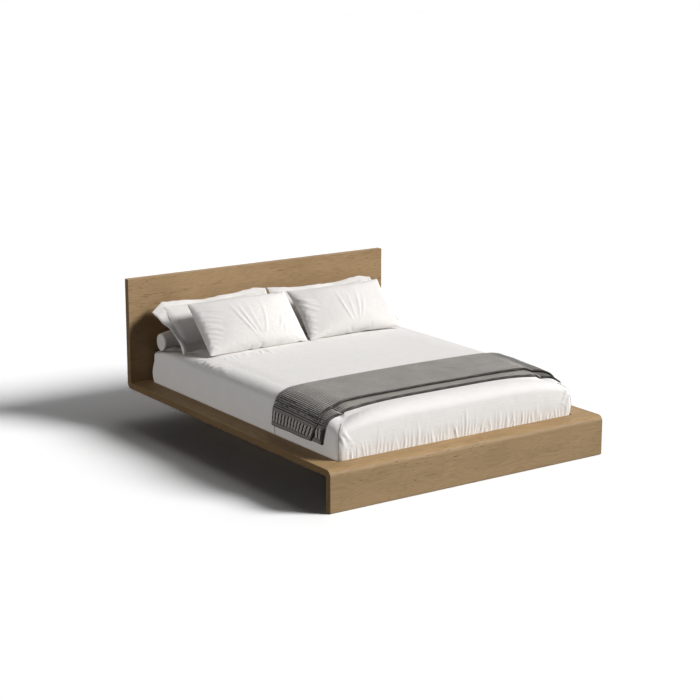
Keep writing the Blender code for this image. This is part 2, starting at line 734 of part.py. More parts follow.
def throw():
    back = MATTRESS_FOOT + THROW_BACK_REACH
    front = back - THROW_LOWER_DEPTH
    upper_front = back - THROW_UPPER_DEPTH
    steps = [i / THROW_ACROSS_STATIONS for i in range(THROW_ACROSS_STATIONS + 1)]
    section = [(back + (front - back) * s, 0) for s in steps]
    section += [(front, THROW_LAYER), (upper_front, THROW_LAYER)]
    section += [(upper_front + (back - upper_front) * s, 2 * THROW_LAYER) for s in steps]
    paths = [throw_path(y, lift) for y, lift in section]
    count = len(section)
    stations = len(paths[0])
    points = [paths[j][i] for i in range(stations) for j in range(count)]
    faces = [tuple(range(count)), tuple(range(len(points) - count, len(points)))]
    for i in range(stations - 1):
        faces += ring_faces(count, i * count, (i + 1) * count)
    add_mesh("throw_blanket", points, faces, WOOL, smooth=True)


throw()
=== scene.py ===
"""The looks of a low solid oak bed with white bedding and a folded grey throw.

Metres, +Z up, +X to the right of someone lying in the bed, +Y towards the headboard.
"""

from math import cos, exp, hypot, pi, radians, sin, sqrt

import bmesh
import bpy
import numpy as np
from mathutils import Matrix, Vector
from mathutils.bvhtree import BVHTree


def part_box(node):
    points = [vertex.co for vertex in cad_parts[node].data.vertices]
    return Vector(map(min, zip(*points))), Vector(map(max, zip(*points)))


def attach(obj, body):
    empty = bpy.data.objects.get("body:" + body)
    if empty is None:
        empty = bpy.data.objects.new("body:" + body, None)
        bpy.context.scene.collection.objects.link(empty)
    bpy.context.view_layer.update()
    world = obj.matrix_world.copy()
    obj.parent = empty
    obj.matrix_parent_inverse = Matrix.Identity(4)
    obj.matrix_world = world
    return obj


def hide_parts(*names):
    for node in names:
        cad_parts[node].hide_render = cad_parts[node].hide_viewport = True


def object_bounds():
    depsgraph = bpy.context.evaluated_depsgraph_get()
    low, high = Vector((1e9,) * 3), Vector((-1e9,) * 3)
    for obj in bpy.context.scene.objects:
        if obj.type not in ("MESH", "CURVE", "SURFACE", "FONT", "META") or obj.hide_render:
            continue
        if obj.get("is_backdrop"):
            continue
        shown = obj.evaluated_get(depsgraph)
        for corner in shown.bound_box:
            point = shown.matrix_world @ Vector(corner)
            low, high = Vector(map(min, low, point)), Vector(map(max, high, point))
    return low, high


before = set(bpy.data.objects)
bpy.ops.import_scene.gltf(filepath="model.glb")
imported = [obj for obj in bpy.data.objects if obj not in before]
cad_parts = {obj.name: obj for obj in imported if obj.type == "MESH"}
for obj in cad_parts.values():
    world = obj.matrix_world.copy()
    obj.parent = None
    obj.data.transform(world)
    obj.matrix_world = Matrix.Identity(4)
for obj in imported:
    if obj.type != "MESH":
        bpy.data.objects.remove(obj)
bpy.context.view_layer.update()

scene = bpy.context.scene

# Studio
# The picture is taken from left of the foot end, a little above head height, with a long lens.
# A soft key lamp stands to the right of the foot end, a wider one to the right of the bed, and a
# low one on the left, which barely grazes the floor and lifts the bed's near side.

NODE_FAMILIES = {"ShaderNodeTree": "ShaderNode", "GeometryNodeTree": "GeometryNode"}


def linear(code):
    """An sRGB hex colour as linear red, green, blue and alpha."""
    parts = [int(code[i : i + 2], 16) / 255 for i in (1, 3, 5)]
    curve = [c / 12.92 if c <= 0.04045 else ((c + 0.055) / 1.055) ** 2.4 for c in parts]
    return (*curve, 1.0)


def add(tree, kind, settings, *inputs):
    """Adds a node of the tree's family. Its settings name properties or sockets, and its inputs
    follow the order of its sockets. A socket, or a node for its first output, is linked."""
    made = tree.nodes.new(NODE_FAMILIES[tree.bl_idname] + kind)
    for name, value in [*settings.items(), *enumerate(inputs)]:
        if isinstance(value, bpy.types.Node):
            value = value.outputs[0]
        if isinstance(name, str) and hasattr(made, name):
            setattr(made, name, value)
        elif isinstance(value, bpy.types.NodeSocket):
            tree.links.new(value, made.inputs[name])
        else:
            made.inputs[name].default_value = value
    return made


def shader(name):
    """A new material and its node tree, still empty."""
    made = bpy.data.materials.new(name)
    made.use_nodes = True
    made.node_tree.nodes.clear()
    return made, made.node_tree


def new_object(name, data):
    """A new object at the origin."""
    made = bpy.data.objects.new(name, data)
    scene.collection.objects.link(made)
    return made


CAMERA_PLACE = Vector((-5.76, -8.23, 2.95))
CAMERA_YAW = radians(34.75)
CAMERA_PITCH = radians(13.59)
CAMERA_ROLL = radians(0.12)

camera_data = bpy.data.cameras.new("camera")
camera_data.lens = 90.9
camera_data.sensor_width = 36.0
camera_data.clip_end = 100.0
camera = new_object("camera", camera_data)
level = cos(CAMERA_PITCH)
gaze = Vector((sin(CAMERA_YAW) * level, cos(CAMERA_YAW) * level, -sin(CAMERA_PITCH)))
camera.rotation_mode = "QUATERNION"
roll = Matrix.Rotation(CAMERA_ROLL, 3, "Z").to_quaternion()
camera.rotation_quaternion = gaze.to_track_quat("-Z", "Y") @ roll
camera.location = CAMERA_PLACE
scene.camera = camera
scene.view_settings.view_transform = "Standard"


def lamp(name, toward, spread, strength):
    """A white lamp so far off that its light is even; toward is the way from the bed to it."""
    data = bpy.data.lights.new(name, "SUN")
    data.angle = radians(spread)
    data.energy = strength * pi
    made = new_object(name, data)
    made.rotation_mode = "QUATERNION"
    made.rotation_quaternion = (-toward).to_track_quat("-Z", "Y")


KEY_TOWARD, KEY_SPREAD, KEY_ON_FLOOR = Vector((1.24, -1.05, 1.0)), 20.0, 0.72
SIDE_TOWARD, SIDE_SPREAD, SIDE_ON_FLOOR = Vector((1.60, 0.0, 1.0)), 90.0, 0.18
LOW_TOWARD, LOW_SPREAD, LOW_STRENGTH = Vector((-1.0, 0.03, 0.022)), 7.0, 0.40
WORLD_STRENGTH = 0.018
lamp("key_lamp", KEY_TOWARD, KEY_SPREAD, KEY_ON_FLOOR / KEY_TOWARD.normalized().z)
lamp("side_lamp", SIDE_TOWARD, SIDE_SPREAD, SIDE_ON_FLOOR / SIDE_TOWARD.normalized().z)
lamp("low_left_lamp", LOW_TOWARD, LOW_SPREAD, LOW_STRENGTH)

world = bpy.data.worlds.new("studio")
scene.world = world
world.use_nodes = True
sky = world.node_tree
sky.nodes.clear()
rays = add(sky, "LightPath", {})
seen = rays.outputs["Is Camera Ray"]
for ray in ("Is Glossy Ray", "Is Transmission Ray"):
    seen = add(sky, "Math", {"operation": "MAXIMUM"}, seen, rays.outputs[ray])
fill = add(sky, "Background", {"Color": linear("#FFFFFF"), "Strength": WORLD_STRENGTH})
backdrop = add(sky, "Background", {"Color": linear("#FFFFFF"), "Strength": 1.0})
add(sky, "OutputWorld", {"Surface": add(sky, "MixShader", {}, seen, fill, backdrop)})

# The floor is a white painted cyclorama. To the camera it is a shade brighter than paint can be,
# so that it meets the white backdrop without a line; the shadow of the bed stays on it.
floor_paint, tree = shader("white_floor_paint")
whiteness = 1.01 / (KEY_ON_FLOOR + SIDE_ON_FLOOR + WORLD_STRENGTH)
seen = add(tree, "LightPath", {}).outputs["Is Camera Ray"]
matt = add(tree, "BsdfDiffuse", {"Color": linear("#606060")})
bright = add(tree, "BsdfDiffuse", {"Color": (whiteness, whiteness, whiteness, 1.0)})
add(tree, "OutputMaterial", {"Surface": add(tree, "MixShader", {}, seen, matt, bright)})
FLOOR_REACH = 40.0
floor_mesh = bpy.data.meshes.new("floor")
floor_corners = [(x * FLOOR_REACH, y * FLOOR_REACH, 0) for x, y in ((-1, -1), (1, -1), (1, 1), (-1, 1))]
floor_mesh.from_pydata(floor_corners, [], [(0, 1, 2, 3)])
floor_mesh.materials.append(floor_paint)
new_object("floor", floor_mesh)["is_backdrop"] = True

# Oak boards
# The headboard, the deck and the foot panel are planed solid oak with a matt oil. Oil leaves the
# open pores as short dark dashes along the grain and deepens the arched figure of flat-sawn boards.

GRAIN_TURNS = {"X": (0, 0, 0), "Y": (0, 0, pi / 2), "Z": (0, pi / 2, 0)}
PLUS, MINUS, TIMES = {"operation": "ADD"}, {"operation": "SUBTRACT"}, {"operation": "MULTIPLY"}
FRACTION, SIZE = {"operation": "FRACT"}, {"operation": "ABSOLUTE"}
SMOOTH = {"interpolation_type": "SMOOTHSTEP"}


def wood(name, light, dark, pore, shift, along="X", ring_share=0.15, pore_share=0.60, end_grain_and_side_shade_share=0.0):
    """Planed wood with its grain along an axis; the shift picks another place in the log."""
    made, tree = shader(name)
    place = add(tree, "TexCoord", {})
    turned = {"Vector": place.outputs["Object"], "Rotation": GRAIN_TURNS[along], "Location": shift}
    board = add(tree, "Mapping", turned)

    def grain(along, across, detail, roughness=0.5):
        """Noise drawn out along the grain, in features per metre."""
        stretched = add(tree, "Mapping", {"Vector": board, "Scale": (along, across, across)})
        streaks = {"Vector": stretched, "Scale": 1.0, "Detail": detail, "Roughness": roughness}
        return add(tree, "TexNoise", streaks)

    # Growth rings show as arches where a flat cut grazes them
    rings = add(tree, "Math", FRACTION, add(tree, "Math", TIMES, grain(1.7, 9.0, 2.0), 15.0))
    ring_rise = add(tree, "MapRange", SMOOTH, rings, 0.35, 0.95)
    ring_end = add(tree, "MapRange", SMOOTH, rings, 0.95, 1.0, 1.0, 0.0)
    ring_dark = add(tree, "Math", TIMES, ring_rise, ring_end)
    fibres = add(tree, "MapRange", SMOOTH, grain(8.0, 150.0, 4.0, 0.6), 0.3, 0.7)
    patches = add(tree, "MapRange", SMOOTH, grain(2.6, 8.0, 2.0), 0.35, 0.65)
    tone = add(tree, "Math", TIMES, ring_dark, ring_share)
    for streaks, share in ((fibres, 0.24), (patches, 0.20)):
        tone = add(tree, "Math", PLUS, tone, add(tree, "Math", TIMES, streaks, share))
    colour = {"data_type": "RGBA", 0: tone, 6: linear(light), 7: linear(dark)}
    colour = add(tree, "Mix", colour).outputs[2]
    # Pores are 0.3 mm wide; drawn about 3 mm wide, or they would not show at all
    pores = add(tree, "MapRange", SMOOTH, grain(15.0, 190.0, 2.0, 0.7), 0.58, 0.68)
    pore_ground = add(tree, "MapRange", SMOOTH, grain(1.6, 16.0, 2.0), 0.42, 0.62, 0.15, 1.0)
    pores = add(tree, "Math", TIMES, pores, pore_ground)
    pore_dark = add(tree, "Math", TIMES, pores, pore_share)
    # Faces that look along X go darker: on the boards' ends this is end grain drinking more oil, on the
    # deck's long sides it is painted shade
    facing = add(tree, "SeparateXYZ", {}, place.outputs["Normal"])
    end_grain_and_side_shade = add(tree, "MapRange", SMOOTH, add(tree, "Math", SIZE, facing), 0.6, 0.95)
    end_grain_and_side_shade = add(tree, "Math", TIMES, end_grain_and_side_shade, end_grain_and_side_shade_share)
    for share in (pore_dark, end_grain_and_side_shade):
        colour = {"data_type": "RGBA", 0: share, 6: colour, 7: linear(pore)}
        colour = add(tree, "Mix", colour).outputs[2]
    relief = add(tree, "Math", MINUS, add(tree, "Math", TIMES, fibres, 0.5), pores)
    bump = add(tree, "Bump", {"Height": relief, "Strength": 0.35, "Distance": 0.0006})
    gloss = add(tree, "MapRange", SMOOTH, fibres, 0.0, 1.0, 0.50, 0.62)
    oiled = {"Base Color": colour, "Roughness": gloss, "Normal": bump, "Specular IOR Level": 0.10}
    add(tree, "OutputMaterial", {"Surface": add(tree, "BsdfPrincipled", oiled)})
    return made


def mesh_piece(name, points, faces, material):
    """A new object from its points and faces, with all faces turned outwards."""
    mesh = bpy.data.meshes.new(name)
    mesh.from_pydata([tuple(float(c) for c in point) for point in points], [], faces)
    shape = bmesh.new()
    shape.from_mesh(mesh)
    bmesh.ops.recalc_face_normals(shape, faces=shape.faces)
    shape.to_mesh(mesh)
    shape.free()
    mesh.materials.append(material)
    mesh.shade_smooth()
    return new_object(name, mesh)


CORNER_RADIUS, CORNER_STEPS, EDGE_EASING, EASING_STEPS, MITRE_GAP = 0.035, 14, 0.0016, 3, 0.0003

deck_low, deck_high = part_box("foot_deck_board")
head_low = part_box("head_deck_board")[0]
panel_low, panel_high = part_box("foot_panel")
board_low, board_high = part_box("headboard_panel")
deck_top, deck_under = deck_high.z, deck_low.z
deck_thickness = deck_top - deck_under
half_width = deck_high.x


def ease(made, is_eased):
    """Rounds the edges between the corners that is_eased picks, as a few strokes of a plane do."""
    shape = bmesh.new()
    shape.from_mesh(made.data)
    weight = shape.edges.layers.float.new("bevel_weight_edge")
    for edge in shape.edges:
        edge[weight] = float(is_eased(*edge.verts))
    shape.to_mesh(made.data)
    shape.free()
    easing = made.modifiers.new("eased_edges", "BEVEL")
    easing.limit_method = "WEIGHT"
    easing.width = EDGE_EASING
    easing.segments = EASING_STEPS
    made.data.set_sharp_from_angle(angle=radians(30))


def bent_corner(first_turn, last_turn):
    """The rounded outer corner as (along, down) from the panel's face and the deck's face."""
    turns = [first_turn + (last_turn - first_turn) * i / CORNER_STEPS for i in range(CORNER_STEPS + 1)]
    return [(CORNER_RADIUS * (1 - cos(t)), CORNER_RADIUS * (1 - sin(t))) for t in turns]


def oak_strip(name, node, outline, free_edges, material):
    """A board drawn out along X; its end edges and the outline's free edges are eased by hand."""
    count = len(outline)
    points = [(x, y, z) for x in (-half_width, half_width) for y, z in outline]
    faces = [tuple(range(count)), tuple(range(count, 2 * count))]
    faces += [(i, (i + 1) % count, count + (i + 1) % count, count + i) for i in range(count)]
    made = mesh_piece(name, points, faces, material)

    def is_eased(first, second):
        a, b = first.index, second.index
        at_end, mitred = a // count == b // count, {a % count, b % count} == {count - 1, 0}
        return not mitred if at_end else a % count in free_edges

    ease(made, is_eased)
    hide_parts(node)
    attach(made, "bed_frame")


def deck_outline(depth, thickness, place):
    arc = [(along + MITRE_GAP / 2, down) for along, down in bent_corner(pi / 4, pi / 2)]
    rest = [(depth, 0), (depth, deck_thickness), (thickness + MITRE_GAP / 2, deck_thickness)]
    return [place(along, down) for along, down in arc + rest]


def panel_outline(length, thickness, place):
    arc = [(along, down + MITRE_GAP / 2) for along, down in bent_corner(pi / 4, 0)]
    rest = [(0, length), (thickness, length), (thickness, deck_thickness + MITRE_GAP / 2)]
    return [place(along, down) for along, down in arc + rest]


def at_foot(along, down):
    return (panel_low.y + along, deck_top - down)


def at_head(along, down):
    return (board_high.y - along, deck_under + down)


OAK_PORE = "#45321F"
deck_tones = ("#AB8D66", "#826846", "#4A3522")
panel_oak = wood("oiled_oak_foot_panel", "#A98F6D", "#7F6949", OAK_PORE, (0.7, 0.0, 0.31), end_grain_and_side_shade_share=0.55)
board_oak = wood("oiled_oak_headboard", "#AC906D", "#826949", OAK_PORE, (3.1, 0.0, 1.13), end_grain_and_side_shade_share=0.55)
# The side boards' long outer sides take this darkening as painted shade
deck_shares = {"pore_share": 0.35, "end_grain_and_side_shade_share": 0.6}
deck_oak = wood("oiled_oak_deck", *deck_tones, (5.3, 0.4, 0.0), **deck_shares)
side_oak = wood("oiled_oak_side_board", *deck_tones, (9.4, 0.0, 0.0), along="Y", **deck_shares)

free_edges = {CORNER_STEPS + 1, CORNER_STEPS + 2}
foot_thick, head_thick = panel_high.y - panel_low.y, board_high.y - board_low.y
foot_upright = panel_outline(deck_top - panel_low.z, foot_thick, at_foot)
head_upright = panel_outline(board_high.z - deck_under, head_thick, at_head)
foot_flat = deck_outline(deck_high.y - panel_low.y, foot_thick, at_foot)
head_flat = deck_outline(board_high.y - head_low.y, head_thick, at_head)
oak_strip("foot_panel_board", "foot_panel", foot_upright, free_edges, panel_oak)
oak_strip("headboard_board", "headboard_panel", head_upright, free_edges, board_oak)
oak_strip("foot_deck_plank", "foot_deck_board", foot_flat, set(), deck_oak)
oak_strip("head_deck_plank", "head_deck_board", head_flat, set(), deck_oak)

for side in ("left", "right"):
    low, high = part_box(side + "_deck_board")
    corners = [(x, y, z) for x in (low.x, high.x) for y in (low.y, high.y) for z in (low.z, high.z)]
    faces = [(0, 1, 3, 2), (4, 6, 7, 5), (0, 4, 5, 1), (2, 3, 7, 6), (0, 2, 6, 4), (1, 5, 7, 3)]
    plank = mesh_piece(side + "_deck_plank", corners, faces, side_oak)
    ease(plank, lambda first, second: abs(first.co.y - second.co.y) > (high.y - low.y) / 2)
    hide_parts(side + "_deck_board")
    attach(plank, "bed_frame")

# Joints of the boards
# Beech tongues glue the mitres and beech tenons the deck's corners. Bright zinc-plated plates and
# angles, pressed from sheet steel, back them up where nobody sees them.

beech_colours = ("#C9A27C", "#AE8560", "#7C5638")
beech = wood("planed_beech", *beech_colours, (2.2, 1.1, 0.6), ring_share=0.08, pore_share=0.35)


def surfaced(name, colour, patch_colour, patch_size, roughness, bump_height, metallic=0.0):
    """A plain finish whose colour, gloss and height vary in patches of a size in metres."""
    made, tree = shader(name)
    place = add(tree, "TexCoord", {}).outputs["Object"]
    spots = {"Vector": place, "Scale": 1 / patch_size, "Detail": 4.0, "Roughness": 0.6}
    patches = add(tree, "TexNoise", spots)
    tint = {"data_type": "RGBA", 0: patches, 6: linear(colour), 7: linear(patch_colour)}
    gloss = add(tree, "MapRange", {3: roughness - 0.08, 4: roughness + 0.08}, patches)
    bump = add(tree, "Bump", {"Height": patches, "Strength": 0.6, "Distance": bump_height})
    finish = {"Base Color": add(tree, "Mix", tint).outputs[2], "Roughness": gloss, "Normal": bump}
    finish["Metallic"] = metallic
    add(tree, "OutputMaterial", {"Surface": add(tree, "BsdfPrincipled", finish)})
    return made


def finished(nodes, material):
    """Gives CAD nodes whose shape is right their own finish."""
    for node in nodes:
        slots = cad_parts[node].data.materials
        for i in range(len(slots)):
            slots[i] = material


zinc = surfaced("zinc_plated_steel", "#B9BCBE", "#9A9DA1", 0.012, 0.38, 0.0002, metallic=1.0)
corners = [end + "_" + side for end in ("foot", "head") for side in ("left", "right")]
finished(["foot_mitre_tongue", "head_mitre_tongue"] + [corner + "_deck_tenon" for corner in corners], beech)
finished([corner + "_corner_plate" for corner in corners], zinc)
finished(["headboard_" + place + "_angle" for place in ("left", "centre", "right")], zinc)

# Base
# Two rails on six square legs and three bearers across them, set well back under the deck. They
# are of the same oiled oak, so far back that the bed seems to float, and stand on nylon glides.

base_tones = ("#A98E6B", "#7F6647", OAK_PORE)
bearer_oak = wood("oiled_oak_bearer", *base_tones, (1.9, 2.2, 0.0))
rail_oak = wood("oiled_oak_rail", *base_tones, (4.4, 2.2, 0.0), along="Y")
leg_oak = wood("oiled_oak_leg", *base_tones, (6.1, 0.7, 0.0), along="Z")
nylon = surfaced("moulded_black_nylon", "#161616", "#1E1E1E", 0.004, 0.48, 0.0001)
felt = surfaced("pressed_grey_felt", "#4A4743", "#322F2C", 0.002, 0.92, 0.0008)
legs = [place + "_" + side for place in ("foot", "middle", "head") for side in ("left", "right")]
finished(["foot_bearer", "middle_bearer", "head_bearer"], bearer_oak)
finished(["left_base_rail", "right_base_rail"], rail_oak)
finished([leg + "_leg" for leg in legs], leg_oak)
finished([leg + "_glide" for leg in legs], nylon)
finished(["foot_panel_" + place + "_pad" for place in ("left", "centre", "right")], felt)

# Slats
# Nine planed pine slats run the length of the well, and two pine cleats carry their ends. Pine has
# strong yellow rings and no open pores.

pine_colours = ("#DDBB88", "#C0935A", "#8A5C34")
pine_shares = {"ring_share": 0.42, "pore_share": 0.08}
slat_pine = wood("planed_pine_slat", *pine_colours, (0.4, 5.2, 0.0), along="Y", **pine_shares)
cleat_pine = wood("planed_pine_cleat", *pine_colours, (7.4, 1.2, 0.0), **pine_shares)
finished(["slat_%d" % number for number in range(1, 10)], slat_pine)
finished(["foot_slat_cleat", "head_slat_cleat"], cleat_pine)

# Mattress
# A sprung mattress of 1.6 by 2.0 m in woven cotton ticking, crowned on top and falling away at
# its four corners, with a tape edge sewn round its foot. It rests on the slats in its well.

HALF_WIDTH, HALF_LENGTH, MIDDLE_Y = 0.800, 1.000, 0.023
BASE_Z, EDGE_HEIGHT, CROWN, DOME, CORNER_FALL = 0.2123, 0.200, 0.052, 0.014, 4.8
PLAN_RADIUS, SHOULDER_WIDTH, SHOULDER_DROP, BULGE, FOOT_ROUND = 0.038, 0.108, 0.060, 0.009, 0.012


def crown_height(x, y):
    """Height of the bare mattress's upper face."""
    across = np.minimum(np.abs(x) / HALF_WIDTH, 1)
    along = np.minimum(np.abs(y - MIDDLE_Y) / HALF_LENGTH, 1)
    fall = (across * along) ** CORNER_FALL
    return BASE_Z + EDGE_HEIGHT + CROWN * (1 - fall) + DOME * (1 - across**2) * (1 - along**2)


def smooth_step(value, low, high):
    share = np.clip((value - low) / (high - low), 0, 1)
    return share * share * (3 - 2 * share)


def plan_grid(columns, rows):
    """A grid over the mattress's plan about its middle, with its four corners drawn in round.
    Its rows are closer together where the cloth is creased, beside the pillows and at the foot."""
    row_places = np.interp(np.linspace(0, 1, rows), (0, 0.12, 0.48, 0.86, 1), (-1, -0.85, 0.20, 0.72, 1))
    x, y = np.meshgrid(np.linspace(-1, 1, columns) * HALF_WIDTH, row_places * HALF_LENGTH)
    a = np.clip((np.abs(x) - HALF_WIDTH) / PLAN_RADIUS + 1, 0, 1)
    b = np.clip((np.abs(y) - HALF_LENGTH) / PLAN_RADIUS + 1, 0, 1)
    x = x - np.sign(x) * PLAN_RADIUS * a * (1 - np.sqrt(1 - b * b / 2))
    y = y - np.sign(y) * PLAN_RADIUS * b * (1 - np.sqrt(1 - a * a / 2))
    return x, y


def border(columns, rows):
    """The grid's outer points in order, as places in its list."""
    last = (rows - 1) * columns
    foot = list(range(columns))
    right = [row * columns + columns - 1 for row in range(1, rows)]
    head = [last + column for column in range(columns - 2, -1, -1)]
    left = [row * columns for row in range(rows - 2, 0, -1)]
    return np.array(foot + right + head + left)


def quads(columns, rows):
    return [
        (i, i + 1, i + 1 + columns, i + columns)
        for row in range(rows - 1)
        for i in range(row * columns, row * columns + columns - 1)
    ]


def mattress_skin(columns, rows, skin, wall_shares, shoulder_turns):
    """Points and faces of the surface outside the bare mattress, and how many points a ring has.
    First comes its top as a grid, then rings over the shoulder and down the wall."""
    plan_x, plan_y = plan_grid(columns, rows)
    share = np.maximum(np.abs(plan_x) / HALF_WIDTH, np.abs(plan_y) / HALF_LENGTH)
    x = plan_x * (1 - SHOULDER_WIDTH / HALF_WIDTH)
    y = MIDDLE_Y + plan_y * (1 - SHOULDER_WIDTH / HALF_LENGTH)
    to_edge = smooth_step(share, 0.88, 1.0)
    z = crown_height(x, y) * (1 - to_edge) + crown_height(plan_x, MIDDLE_Y + plan_y) * to_edge + skin
    points = [np.stack([x.ravel(), y.ravel(), z.ravel()], 1)]
    rim = border(columns, rows)
    rim_x, rim_y = plan_x.ravel()[rim], plan_y.ravel()[rim]
    crown = crown_height(rim_x, MIDDLE_Y + rim_y)
    profile = []
    # Stitching holds the two head corners square; the foot is rounder
    squareness = 1 - 0.69 * smooth_step(rim_y / HALF_LENGTH, 0.45, 0.92)
    for turn in shoulder_turns:
        across = max(cos(turn), 0.0) ** squareness
        outset = skin - (SHOULDER_WIDTH + skin) * (1 - across)
        profile.append((outset, 1.0, (SHOULDER_DROP + skin) * sin(turn) ** squareness))
    for climb in wall_shares:
        profile.append((skin + BULGE * sin(pi * climb), climb, 0.0))
    for outset, climb, rise in profile:
        ring_x = rim_x * (1 + outset / HALF_WIDTH)
        ring_y = MIDDLE_Y + rim_y * (1 + outset / HALF_LENGTH)
        wall = crown - SHOULDER_DROP - BASE_Z
        points.append(np.stack([ring_x, ring_y, BASE_Z + climb * wall + rise], 1))
    faces = quads(columns, rows)
    count = len(rim)
    inner = rim
    for ring in range(len(profile)):
        outer = columns * rows + ring * count + np.arange(count)
        sides = (inner, outer, np.roll(outer, -1), np.roll(inner, -1))
        faces += list(zip(*(side.tolist() for side in sides)))
        inner = outer
    return np.concatenate(points), faces, count


def cotton(name, colour, shade, weave_depth):
    """Plain-woven cotton. A 0.3 mm thread would not show, so the weave is drawn at 2.5 mm."""
    made, tree = shader(name)
    place = add(tree, "TexCoord", {}).outputs["Object"]
    crumple = add(tree, "TexNoise", {"Vector": place, "Scale": 14.0, "Detail": 3.0})
    tint = {"data_type": "RGBA", 0: crumple, 6: linear(colour), 7: linear(shade)}
    threads = 0.0
    for way in "XYZ":
        thread = {"Vector": place, "Scale": 2 * pi / 20 / 0.0025, "bands_direction": way}
        threads = add(tree, "Math", PLUS, threads, add(tree, "TexWave", thread).outputs["Fac"])
    soft = add(tree, "Bump", {"Height": crumple, "Strength": 0.5, "Distance": 0.004})
    woven = {"Height": threads, "Strength": 0.5, "Distance": weave_depth, "Normal": soft}
    cloth = {"Base Color": add(tree, "Mix", tint).outputs[2], "Normal": add(tree, "Bump", woven)}
    cloth.update({"Roughness": 0.88, "Sheen Weight": 0.12, "Sheen Roughness": 0.4})
    cloth["Specular IOR Level"] = 0.25
    add(tree, "OutputMaterial", {"Surface": add(tree, "BsdfPrincipled", cloth)})
    return made


ticking = cotton("woven_cotton_ticking", "#D9D5CC", "#CBC6BA", 0.0006)
core_shares = np.linspace(1, 0.06, 14)[1:]
core_turns = np.linspace(pi / 2, 0, 8)[1:]
core_points, core_faces, core_count = mattress_skin(97, 121, 0.0, core_shares, core_turns)
last_ring = core_points[-core_count:]
foot_ring = last_ring * [1 - FOOT_ROUND / HALF_WIDTH, 1 - FOOT_ROUND / HALF_LENGTH, 0] + [0, 0, BASE_Z]
tip = len(core_points) + core_count
core_points = np.concatenate([core_points, foot_ring, [[0, MIDDLE_Y, BASE_Z]]])
for i in range(core_count):
    j = (i + 1) % core_count
    wall, foot = tip - 2 * core_count, tip - core_count
    core_faces += [(wall + i, foot + i, foot + j, wall + j), (foot + i, tip, foot + j)]
mattress_core = mesh_piece("mattress_core", core_points, core_faces, ticking)
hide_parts("mattress")
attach(mattress_core, "mattress")

# Fitted sheet
# One piece of white cotton, boxed at the corners with a sewn seam and gathered by an elastic hem
# that is tucked under the mattress. The gathers stand up the foot wall as fine pleats.

SHEET_SKIN = 0.0028
SHEET_COLUMNS, SHEET_ROWS = 281, 181
chance = np.random.default_rng(7)
draw = chance.uniform


def ridge(first, second, start, end, width, height, bend=0.0, taper=0.5):
    """Height of a soft fold between two places, with a furrow on both sides of it."""
    run = np.array(end, float) - np.array(start, float)
    length = hypot(*run)
    run = run / length
    along = ((first - start[0]) * run[0] + (second - start[1]) * run[1]) / length
    aside = (second - start[1]) * run[0] - (first - start[0]) * run[1]
    inside = np.clip(along, 0, 1)
    aside = aside - bend * 4 * inside * (1 - inside)
    strength = np.sin(pi * inside ** taper) ** 2 * ((along > 0) & (along < 1))
    spread = (aside / (width * (0.6 + 0.8 * inside))) ** 2
    return height * strength * (1 - 0.7 * spread) * np.exp(-spread)


wall_shares = np.linspace(1, 0.04, 23)[1:]
shoulder_turns = np.linspace(pi / 2, 0, 9)[1:]
points, faces, count = mattress_skin(SHEET_COLUMNS, SHEET_ROWS, SHEET_SKIN, wall_shares, shoulder_turns)
x, y, z = points.T
climb = (z - BASE_Z) / (crown_height(x, y) - BASE_Z)
on_top = smooth_step(z, crown_height(x, y) - 0.035, crown_height(x, y) - 0.004)
at_foot_wall = 1 - smooth_step(y, MIDDLE_Y - HALF_LENGTH + 0.004, MIDDLE_Y - HALF_LENGTH + 0.03)
at_side_wall = smooth_step(np.abs(x), HALF_WIDTH - 0.03, HALF_WIDTH - 0.004)
lift = np.zeros(len(points))

# Gathers of the foot wall
place = -HALF_WIDTH + 0.05
while place < HALF_WIDTH - 0.04:
    reach = draw(0.22, 0.58) if chance.random() < 0.86 else draw(0.58, 0.85)
    width, height = draw(0.0042, 0.0085), draw(0.0012, 0.0040)
    lean = chance.normal(0, 0.035)
    foot = at_foot_wall * (1 - smooth_step(climb, reach * 0.35, reach))
    spread = ((x - place - lean * climb) / width) ** 2
    lift += foot * height * (1 - 0.55 * spread) * np.exp(-spread)
    place += draw(0.008, 0.024)
# Weaker gathers of the side walls
for side in (-1, 1):
    place = -0.93
    while place < 0.97:
        reach = draw(0.25, 0.60)
        width, height = draw(0.010, 0.020), draw(0.0006, 0.0020)
        wall = at_side_wall * (x * side > 0) * (1 - smooth_step(climb, reach * 0.3, reach))
        spread = ((y - MIDDLE_Y - place) / width) ** 2
        lift += wall * height * np.exp(-spread)
        place += draw(0.03, 0.07)
# Slack pushed up beside the pillows and in front of the throw
over_shoulder = x - (crown_height(x, y) - z) * (x < 0)
for i in range(9):
    start = (-0.730 + draw(-0.006, 0.006), 0.580 - 0.034 * i + draw(-0.006, 0.006))
    end = (start[0] - draw(0.080, 0.100), start[1] - draw(0.14, 0.17))
    height, bend = draw(0.0060, 0.0090), draw(-0.008, 0.008)
    lift += (x < 0) * ridge(over_shoulder, y, start, end, 0.0090, height, bend, 0.8)
for i in range(9):
    start = (-0.62 + 0.035 * i, draw(0.44, 0.50))
    end = (start[0] + draw(-0.07, 0.02), draw(0.30, 0.38))
    height, bend = draw(0.0015, 0.0038), draw(-0.01, 0.01)
    lift += on_top * ridge(x, y, start, end, 0.009, height, bend)
for i in range(16):
    start = (-0.66 + 0.085 * i + draw(-0.03, 0.03), -0.872)
    end = (start[0] + draw(0.03, 0.09), draw(-0.945, -0.915))
    lift += ridge(x, y, start, end, 0.007, draw(0.001, 0.0024))
